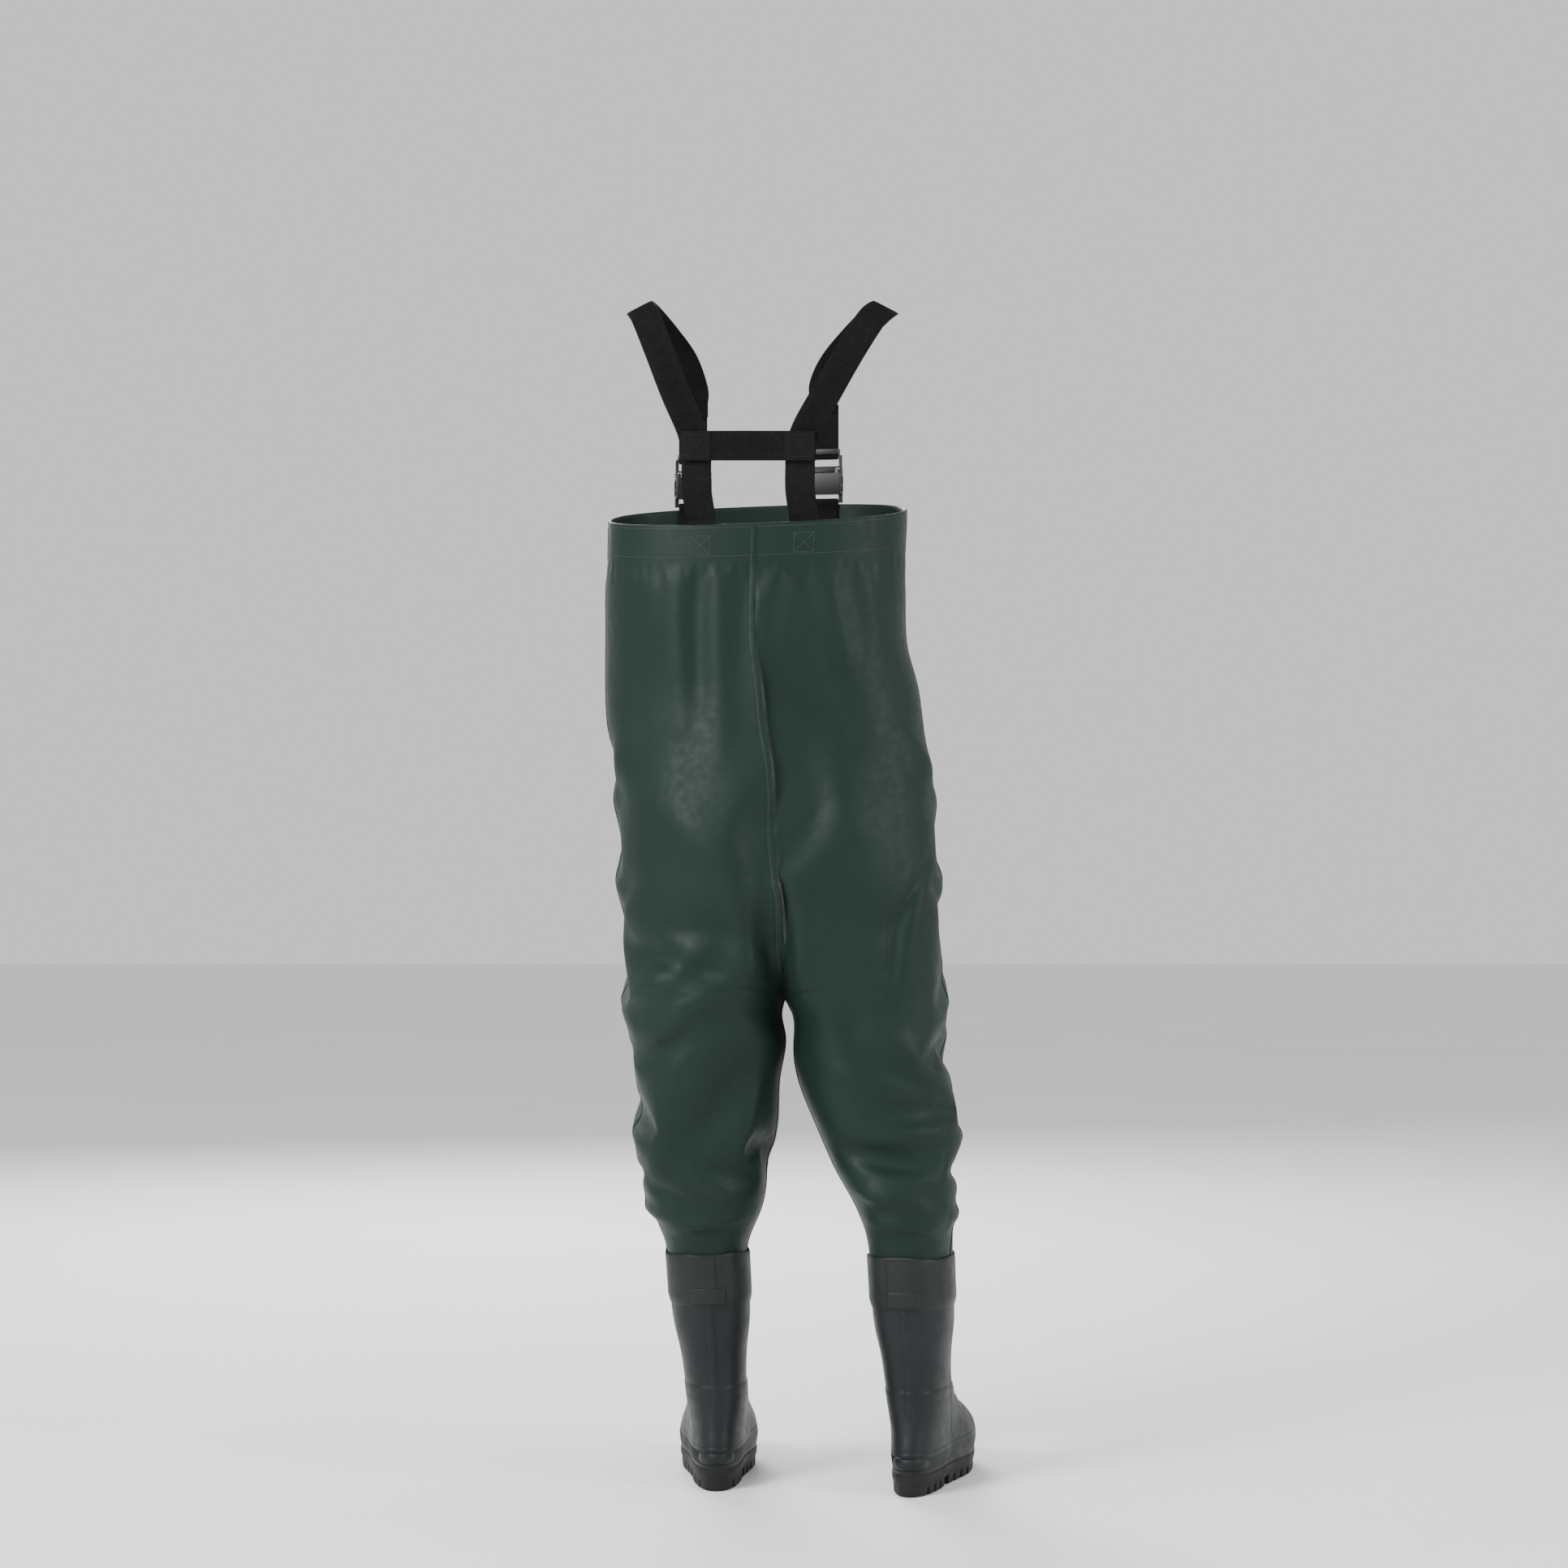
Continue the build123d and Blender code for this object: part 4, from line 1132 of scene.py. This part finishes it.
def make_pocket():
    """Bellows pocket: a crowned face with folded sides, open at the top behind its flap."""
    columns, rows = POCKET_GRID
    u = np.sin(np.linspace(-1, 1, columns) * math.pi / 2)
    across, down = np.meshgrid(u, np.linspace(0, 1, rows))
    sides = np.clip(1 - np.abs(across) ** 14, 0, 1) ** 0.5
    foot = np.clip(1 - np.clip((down - 0.9) / 0.1, 0, 1) ** 2.4, 0, 1) ** 0.5
    crown = 1.8 * (1 - across ** 2) * np.sin(math.pi * down) ** 0.7
    sag = 0.8 * np.sin(5.2 * across + 1.3) * np.sin(3.4 * down + 0.4)
    out = (POCKET_DEPTH + crown + sag) * sides * foot - 0.6
    x = POCKET_MIDDLE + across * POCKET_HALF_WIDTH
    z = POCKET_TOP + (POCKET_BOTTOM - POCKET_TOP) * down
    outer = front_surface(x, z, out)
    narrower = POCKET_MIDDLE + (x - POCKET_MIDDLE) * 0.985
    inner = front_surface(narrower, z, np.maximum(out - POCKET_WALL, 0.3))
    shell = np.vstack([outer[::-1], inner])
    grid("chest_pocket_shell", shell, FABRIC, flip=True, replaces=["chest_pocket"], slot="coated_fabric")
    pocket_binding((outer[0] + inner[0]) / 2)
    face = outer + (0, -0.2, 0)
    left, right = POCKET_STITCH_COLUMNS
    lines = [face[row, left:right + 1] for row in POCKET_STITCH_ROWS]
    lines += [face[3:POCKET_STITCH_ROWS[0], column] for column in POCKET_STITCH_COLUMNS]
    stitches("pocket_stitches", facing(FRONTWARD, lines), THREAD)


def pocket_binding(edge):
    """Bound top edge of the pocket, short of its folded sides."""
    rings = [
        [p + (0, 1.7 * math.cos(t), 3.2 * math.sin(t) - 2.6) for t in turns(12)] for p in edge[4:-4]
    ]
    grid("pocket_binding", rings, FABRIC, around=True, caps=True, slot="coated_fabric")


def make_flap():
    """Flap with rounded lower corners, turned edges and two lines of stitches."""
    columns, rows = FLAP_GRID
    across, down = np.meshgrid(np.linspace(-1, 1, columns), np.linspace(0, 1, rows))
    start, rise = FLAP_CORNER
    corner = np.clip((np.abs(across) - start) / (1 - start), 0, 0.999)
    length = FLAP_LENGTH - rise * (1 - np.sqrt(1 - corner ** 2))
    x = POCKET_MIDDLE + across * FLAP_HALF_WIDTH
    z = POCKET_TOP + 3.6 - length * down
    edge = np.minimum.reduce([
        (1 - np.abs(across)) * FLAP_HALF_WIDTH, (1 - down) * FLAP_LENGTH, down * FLAP_LENGTH + 1.5
    ])
    edge = np.clip(edge / TURNED_EDGE, 0, 1)
    turned = np.sqrt(edge * (2 - edge))
    ripple = 0.5 * np.sin(7 * across) * down
    hinge = 1.2 * (1 - smoothstep(0, 0.12, down))
    half = FLAP_THICKNESS / 2
    middle = FLAP_OUT + ripple + 0.5 * (turned - 1) - hinge - half
    outer = front_slab(
        "pocket_flap_cloth", x, z, middle + half * turned, middle - half * turned, FABRIC,
        body="pocket_flap", replaces=["pocket_flap"], slot="coated_fabric",
    )
    face = outer + (0, -0.15, 0)
    lines = []
    for column, row in FLAP_STITCHES:
        lines.append(face[row, column:columns - column])
        lines += [face[2:row, edge_column] for edge_column in (column, columns - 1 - column)]
    stitches("flap_stitches", facing(FRONTWARD, lines), THREAD, body="pocket_flap")


def make_closure():
    """Hook and loop strips between the pocket and its flap."""
    u = POCKET_MIDDLE + np.linspace(-CLOSURE_HALF_WIDTH, CLOSURE_HALF_WIDTH, 57)
    top, bottom = CLOSURE_DROP
    across, up = np.meshgrid(u, np.linspace(POCKET_TOP - top, POCKET_TOP - bottom, 14))
    pile = 0.16 * np.cos(across * 2.3) * np.cos(up * 2.6)
    for name, out, body in CLOSURE:
        front_slab(
            f"{name}_pile", across, up, out + pile, out - CLOSURE_THICKNESS, FLEECE,
            body=body, replaces=[name], slot="hook_and_loop",
        )


# ---- boots --------------------------------------------------------------------------------------
BOOT_ROWS = np.array(BOOT[::-1], float)
SHAFT_ANGLES = 160
# Angles from the heel where the columns stand closer, for the edges of the back ridge.
RIDGE_ANGLES = np.array([0.018, 0.034, 0.046, 0.055, 0.063, 0.073, 0.088])
RIDGE_HALF_WIDTH = 5.0
SHELL = 5.2                  # depth of the lining's face under the upper's skin
INSOLE_LEVEL = 31
INSOLE_RINGS = ((-30, 32.4), (-8, 32.4), (-6, 34.0), (-8, 36.0), (-20, 35.8), (-33, 35.6))
RAND_LEVEL = 40              # where its outline is taken
RAND_GIRTH = 720
RAND_RIB = 5.2
BOOT_SEAMS = {"vamp": (211, 0.05, 57, 96.5), "quarter": (108, -0.28, 60, 131)}
LUG_LEVEL = 42.5
LUG_HALF_WIDTH = 24.0


def boot_local(z, angle, out=0.0):
    """Forward and across position on a boot's skin at a height and an angle from the toe."""
    rear, front, heel_half, ball_half = row_at(BOOT_ROWS, min(max(z, SOLE_HEIGHT), SHAFT_TOP))
    centre, reach = (rear + front) / 2, (front - rear) / 2
    along, across = superellipse(reach + out, 1.0, angle)
    width = half_width_at(centre + along, heel_half, ball_half) + out
    return centre + along, across * width


def boot_skin(side, z, angle, out=0.0):
    return leaning_point(side, *boot_local(z, angle, out), z)


def bell(value, middle, width):
    return np.exp(-((value - middle) / width) ** 2)


def boot_relief(z, forward, across):
    """Raised and sunken details of the moulded upper, in millimetres."""
    ridge = np.clip(1 - (across / RIDGE_HALF_WIDTH) ** 4, 0, 1) * (forward < 60)
    ridge = ridge * smoothstep(96, 108, z) * (1 - smoothstep(236, 244, z))
    ankle_step = 1 - smoothstep(132, 134.2, z)
    toe_cap = smoothstep(209, 213, forward)
    creases = np.sin((z - 100) * 0.42 + across * 0.05) * bell(z, 118, 14) * bell(forward, 150, 26)
    waist = bell(z, 176, 18) * bell(forward, 10, 40)
    swell = smoothstep(165, 236, z) * (1 - smoothstep(242, 249, z))
    raised = 2.4 * swell + 1.7 * ridge + 1.2 * ankle_step + 1.1 * toe_cap
    return raised + 0.9 * creases - 0.5 * bell(z, 121, 1.6) - 0.8 * waist


def make_upper(side):
    angles = turns(SHAFT_ANGLES)
    away = angles[np.abs(angles - math.pi) > 0.1]
    angles = np.sort(np.concatenate([away, [math.pi], math.pi + RIDGE_ANGLES, math.pi - RIDGE_ANGLES]))
    points = []
    for z in levels(SHAFT_TOP, SOLE_HEIGHT - 1, 2.0):
        relief = boot_relief(z, *boot_local(z, angles))
        points.append(boot_skin(side, z, angles, relief))
    name, lining = f"{side}_boot_upper", f"{side}_boot_lining"
    grid(f"{name}_rubber", points, UPPER, around=True, replaces=[name], slot="boot_upper")
    inner = [boot_skin(side, z, angles[::2], -SHELL) for z in levels(SHAFT_TOP - 2, 50, 8)]
    grid(f"{lining}_knit", inner, LINING, around=True, flip=True, replaces=[lining], slot="lining")


def make_insole(side):
    """Felt insole with a cupped heel."""
    rings = []
    for out, z in INSOLE_RINGS:
        rings.append(boot_skin(side, INSOLE_LEVEL, turns(96), out) + (0, 0, z - INSOLE_LEVEL))
    name = f"{side}_insole"
    grid(f"{name}_felt", rings, FELT, around=True, caps=True, replaces=[name], slot="insole")


def make_rand(side):
    """Ribbed rubber rand that wraps the foot above the sole, taller round the toe."""
    angles = turns(600)
    forward, _ = boot_local(RAND_LEVEL, angles)
    foot, top = SOLE_HEIGHT - 0.5, 57 + 8 * smoothstep(190, 290, forward)
    points = []
    for share in np.linspace(1, 0, 19):
        z = foot + share * (top - foot)
        ribbed = smoothstep(0.12, 0.2, share) * (1 - smoothstep(0.72, 0.8, share))
        run = angles * RAND_GIRTH / (2 * math.pi)
        rib = 0.55 * np.cos((run * 0.8 + z * 1.5) * 2 * math.pi / RAND_RIB) * ribbed
        edge = 1.0 - max(0.0, (share - 0.95) / 0.05) ** 2
        out = 0.2 + 1.5 * edge + rib
        points.append([boot_skin(side, h, a, o) for h, a, o in zip(z, angles, out)])
    grid(f"{side}_rand", points, UPPER, around=True, slot="boot_upper", sharp=0)


def bead(name, side, path, width, height):
    """Raised rounded strip on a boot along a path of (height, angle, out)."""
    points = np.array([boot_skin(side, z, a, o) for z, a, o in path])
    beyond = np.array([boot_skin(side, z, a, o + 1) for z, a, o in path])
    normal = unit(beyond - points)
    across = unit(np.cross(unit(np.gradient(points, axis=0)), normal))
    rings = [
        [p + a * width / 2 * math.cos(t) + n * height * math.sin(t) for t in turns(10)]
        for p, a, n in zip(points, across, normal)
    ]
    grid(name, rings, UPPER, around=True, caps=True, slot="boot_upper")


def make_boot_seams(side):
    """Vamp seam over the instep and a quarter seam down each flank."""
    for label, (forward, slant, low, high) in BOOT_SEAMS.items():
        for hand, sign in SIDES.items():
            path = []
            for z in np.linspace(low, high, 26):
                rear, front, _, _ = row_at(BOOT_ROWS, z)
                target = forward + (z - low) * slant
                share = np.clip((2 * target - rear - front) / (front - rear), -1, 1)
                angle = math.acos(np.sign(share) * abs(share) ** (ROUNDNESS / 2))
                path.append((z, sign * angle, 0.6))
            bead(f"{side}_{label}_seam_{hand}", side, path, 3.2, 0.9)


def make_kick_lug(side):
    """Ledge on the heel for pushing the boot off."""
    rear, front, heel_half, _ = row_at(BOOT_ROWS, 45)
    rings = []
    for a in np.linspace(-LUG_HALF_WIDTH, LUG_HALF_WIDTH, 41):
        share = min(1, abs(a) / (heel_half + 1))
        back = rear + (front - rear) / 2 * (1 - rest_of(share))
        size = max(0.05, (1 - (abs(a) / LUG_HALF_WIDTH) ** 8) ** 0.5)
        c, s = superellipse(5.6, 8.2 * max(0.3, size), turns(20))
        x, y = boot_point(side, back - 0.5 - c * size, a)
        rings.append(np.stack([x, y, LUG_LEVEL + s], 1))
    grid(f"{side}_kick_lug", rings, UPPER, around=True, caps=True, slot="boot_upper")


# ---- soles --------------------------------------------------------------------------------------
SOLE_ROW = (1, 303, 36, 51)
HEEL_FRONT = 82
SHANK_FRONT = 104
SHANK_RISE = 12.0
GROOVE = 5.0                 # depth of the tread
HEEL_GROOVES = (20, 72, 22, 20, 5.5)     # from, to, first groove, pitch, width
BALL_GROOVES = (112, 400, 122, 24, 6.5)
TOE_SPRING = 5.0
TOE_RISE = (255, 303)
TOE_NOTCH = 299.0            # the wall is notched from here on, as at each groove
NOTCH = 3.2
WALL_STEP = 16.6             # height of the lip's underside
# Height on the sole's wall and distance out, from the tread up.
WALL = [
    (0.0, -2.4), (1.6, -0.9), (9.0, -0.4), (15.5, -0.2), (WALL_STEP, 0.9), (19.0, 1.5),
    (24.0, 1.7), (26.4, 1.5), (27.6, 0.6),
]


def in_groove(forward, grooves):
    start, end, first, pitch, width = grooves
    return start < forward < end and (forward - first) % pitch < width


def tread_height(forward):
    """Height of the sole's underside: grooves between cleats, and the raised shank."""
    if HEEL_FRONT < forward < SHANK_FRONT:
        return SHANK_RISE
    if forward <= HEEL_FRONT:
        return GROOVE * in_groove(forward, HEEL_GROOVES)
    spring = TOE_SPRING * smoothstep(*TOE_RISE, forward)
    return float(spring) + GROOVE * in_groove(forward, BALL_GROOVES)


def sole_stations():
    """Places along the sole, doubled where the tread steps."""
    rear, front = SOLE_ROW[:2]
    centre, reach = (rear + front) / 2, (front - rear) / 2
    even = centre - reach * np.cos(np.linspace(0.03, math.pi - 0.03, 150))
    fine = np.arange(rear + 2, front - 2, 0.5)
    heights = np.array([tread_height(f) for f in fine])
    jumps = fine[:-1][np.abs(np.diff(heights)) > 2] + 0.25
    return np.unique(np.round(np.concatenate([even, jumps - 0.35, jumps + 0.35]), 3))


def make_outsole(side):
    """Cleated sole: a thin lip at the top, a stepped wall, and side notches at each groove."""
    rear, front, heel_half, ball_half = SOLE_ROW
    centre, reach = (rear + front) / 2, (front - rear) / 2
    rings = []
    for forward in sole_stations():
        share = min(1, abs(forward - centre) / reach)
        width = half_width_at(forward, heel_half, ball_half) * rest_of(share)
        low = tread_height(forward)
        notch = NOTCH if low == GROOVE or forward > TOE_NOTCH else 0.0
        flank = []
        for z, out in WALL:
            up = low + z * (WALL_STEP - low) / WALL_STEP if z < WALL_STEP else z
            inset = notch * (1 - smoothstep(8, 12, up))
            flank.append((max(0.3, width + out - inset), max(low, up)))
        ring = flank + [(-a, z) for a, z in flank[::-1]]
        rings.append([(*boot_point(side, forward, a), z) for a, z in ring])
    name = f"{side}_outsole"
    grid(f"{name}_rubber", rings, SOLE, around=True, caps=True, replaces=[name], slot="outsole", sharp=35)


# ---- cuffs --------------------------------------------------------------------------------------
CUFF_BOTTOM = 240
CUFF_IN = 3.45
CUFF_OUT = 5.0
CUFF_FLARE = 0.6
CUFF_PHASE = {"left": 0.6, "right": 2.1}     # of the unevenness of its trimmed edge
STRIP_HALF_WIDTH = {"left": 11, "right": 21}
STRIP_THICKNESS = 0.9
PATCH_HALF_WIDTH = 23
PATCH_HEIGHTS = (CUFF_BOTTOM + 4, CUFF_BOTTOM + 24)
CUFF_PATCH_THICKNESS = 1.9
PLATE_COLUMNS = 25
# Share of the cuff's height and distance from the shaft, up the outside and down the inside.
CUFF_PROFILE = [(0.0, 0.3), (0.0, 2.2), (0.02, 2.8), (0.09, 3.9), (0.17, CUFF_OUT)]
CUFF_PROFILE += [(share, CUFF_OUT) for share in np.linspace(0.22, 0.94, 9)]
CUFF_PROFILE += [(0.98, CUFF_OUT - 0.2), (1.0, CUFF_OUT - 0.7), (1.0, CUFF_IN + 0.3), (0.98, CUFF_IN)]
CUFF_PROFILE += [(0.16, CUFF_IN), (0.0, 0.3)]
# Share of a plate's height and of its thickness.
PLATE_PROFILE = [(0, 0.0), (0, 0.7), (0.03, 0.95)] + [(share, 1.0) for share in np.linspace(0.1, 0.9, 7)]
PLATE_PROFILE += [(0.97, 0.95), (1, 0.7), (1, 0.0)]


def cuff_point(side, z, angle, out):
    """Point round the shaft; the angle is measured from the front."""
    _, rear, front, half, _ = BOOT[-1]
    along, across = superellipse((front - rear) / 2 + out, half + out, angle)
    return leaning_point(side, (rear + front) / 2 + along, across, z)


def make_cuff(side):
    """Welded band round the top of the boot, with an uneven trimmed edge."""
    angles, phase = turns(180), CUFF_PHASE[side]
    top = SHAFT_TOP + 1.2 + 1.6 * np.sin(2 * angles + phase) + 0.9 * np.sin(5 * angles + 2 * phase)
    wobble = 0.35 * np.sin(7 * angles + phase)
    rows = []
    for share, out in CUFF_PROFILE:
        heights = CUFF_BOTTOM + share * (top - CUFF_BOTTOM)
        outs = out + CUFF_FLARE * share ** 3 + wobble * share
        rows.append([cuff_point(side, z, a, o) for z, a, o in zip(heights, angles, outs)])
    name = f"{side}_cuff_band"
    grid(f"{name}_rubber", rows, CUFF_RUBBER, around=True, replaces=[name], slot="cuff", sharp=40)


def cuff_plate(name, side, half_width, low, high, thickness, replaces=()):
    """Plate moulded on the back of the cuff, with rounded edges."""
    shaft_half = BOOT[-1][3] + CUFF_OUT
    edge = math.asin((half_width / shaft_half) ** (ROUNDNESS / 2))
    angles = math.pi + np.linspace(-edge, edge, PLATE_COLUMNS)
    whole = 1 - np.abs(np.linspace(-1, 1, PLATE_COLUMNS)) ** 12
    rows = []
    for share, lift in PLATE_PROFILE:
        z = low + share * (high - low)
        flare = CUFF_FLARE * ((z - CUFF_BOTTOM) / (SHAFT_TOP - CUFF_BOTTOM)) ** 3
        outs = CUFF_OUT + 0.1 + flare + (0.15 + thickness * lift) * whole - 0.3 * (1 - whole)
        rows.append([cuff_point(side, z, a, o) for a, o in zip(angles, outs)])
    grid(name, rows, CUFF_RUBBER, replaces=replaces, slot="cuff", sharp=40)


def make_boots():
    for side in SIDES:
        for make in (make_upper, make_insole, make_rand, make_boot_seams, make_kick_lug, make_outsole):
            make(side)
        make_cuff(side)
        strip = (STRIP_HALF_WIDTH[side], CUFF_BOTTOM + 3, SHAFT_TOP - 2, STRIP_THICKNESS)
        cuff_plate(f"{side}_cuff_strip", side, *strip)
        patch = (PATCH_HALF_WIDTH, *PATCH_HEIGHTS, CUFF_PATCH_THICKNESS)
        cuff_plate(f"{side}_cuff_patch_plate", side, *patch, [f"{side}_cuff_patch"])


# ---- buckles ------------------------------------------------------------------------------------
EDGE_RADIUS = 0.55
WEBBING_LEVEL = 2.65         # of each layer of the doubled webbing from the buckle's middle
TAB_LEVEL = 0.9              # of each layer of a bib tab where it is sewn together
TAB_LOOP = 3.15


def rounded_copy(node_name):
    """Moulded look of a CAD piece: the same shape with its edges rounded."""
    source = frame["nodes"][node_name]
    mesh = source.data.copy()
    body = bmesh.new()
    body.from_mesh(mesh)
    bmesh.ops.remove_doubles(body, verts=body.verts, dist=0.00002)
    bmesh.ops.dissolve_limit(body, angle_limit=math.radians(2), verts=body.verts, edges=body.edges)
    sharp = [e for e in body.edges if len(e.link_faces) == 2 and e.calc_face_angle() > math.radians(30)]
    bmesh.ops.bevel(
        body, geom=sharp, offset=EDGE_RADIUS * MM, offset_type="OFFSET", segments=2, profile=0.6,
        affect="EDGES", clamp_overlap=True,
    )
    bmesh.ops.triangulate(body, faces=[f for f in body.faces if len(f.verts) > 4])
    mesh.clear_geometry()
    body.to_mesh(mesh)
    body.free()
    mesh.materials.clear()
    mesh.materials.append(PLASTIC)
    mesh.shade_smooth()
    mesh.set_sharp_from_angle(angle=math.radians(38))
    declare(linked(f"{node_name}_moulded", mesh), source["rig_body"], [node_name], "buckle_plastic")


def make_buckles():
    for side, buckle in BUCKLES.items():
        parts = ("female", "male", "left_prong", "right_prong")
        for node_name in [f"{side}_buckle_{part}" for part in parts] + [f"{side}_strap_keeper"]:
            rounded_copy(node_name)
        out, loop = WEBBING_LEVEL, WEBBING_LEVEL
        tail = line((-out, 92), (-out, 22)) + arc((0, 21.5), loop, 180, 360)
        tail += line((out, 24), (out, 117)) + [(out, 117)]
        name = f"{side}_front_webbing"
        flat_strap(f"{name}_strap", buckle, tail, body=f"{side}_strap_end", replaces=[name])
        out = TAB_LEVEL
        tab = line((-out, -86), (-out, -48)) + line((-out, -48), (-2.9, -41), 2)
        tab += arc((0, -38), TAB_LOOP, 200, -20) + line((2.9, -41), (out, -48), 2)
        tab += line((out, -48), (out, -86)) + [(out, -86)]
        name = f"{side}_bib_tab"
        flat_strap(f"{name}_strap", buckle, tab, replaces=[name])


# ---- studio -------------------------------------------------------------------------------------
CAMERA_PLACE = (0, 4860, 920)
LENS = 85
SENSOR = 36
FLOOR_HALF = 14.0            # metres
FLOOR_LEVEL = -0.0005
# Name, place and aim in metres, power in watts, size in metres.
LIGHTS = [
    ("key", (2.6, 2.8, 2.7), (0, 0, 0.8), 230, 1.5),
    ("fill", (-3.2, 1.6, 1.8), (0, 0, 0.7), 80, 1.6),
    ("front", (0.8, -3.4, 2.6), (0, 0, 0.8), 200, 1.8),
]
SKY_STRENGTH = 0.85


def make_camera():
    data = bpy.data.cameras.new("camera")
    data.lens = LENS
    data.sensor_width = SENSOR
    camera = linked("camera", data)
    camera.location = placed(CAMERA_PLACE)
    camera.rotation_euler = (math.radians(90), 0, math.radians(180))
    bpy.context.scene.camera = camera


def area_light(name, place, aim, power, size):
    data = bpy.data.lights.new(name, "AREA")
    data.energy = power
    data.size = size
    light = linked(name, data)
    light.location = place
    light.rotation_euler = (Vector(aim) - Vector(place)).to_track_quat("-Z", "Y").to_euler()


def make_studio():
    square = ((-1, -1), (1, -1), (1, 1), (-1, 1))
    corners = [(FLOOR_HALF * x, FLOOR_HALF * y, FLOOR_LEVEL) for x, y in square]
    floor = linked("floor", new_mesh("floor", corners, [(0, 1, 2, 3)]))
    floor.data.materials.append(FLOOR)
    for light in LIGHTS:
        area_light(*light)
    world = bpy.data.worlds.new("world")
    world.use_nodes = True
    sky = world.node_tree.nodes["Background"]
    sky.inputs["Color"].default_value = (1.0, 1.0, 1.0, 1)
    sky.inputs["Strength"].default_value = SKY_STRENGTH
    bpy.context.scene.world = world


make_camera()
make_studio()
make_garment()
make_seams()
make_hem_stitches()
make_pocket()
make_flap()
make_closure()
make_boots()
for wearer_side in SIDES:
    make_shoulder_strap(wearer_side)
    make_back_webbing(wearer_side)
make_cross_strap()
make_buckles()
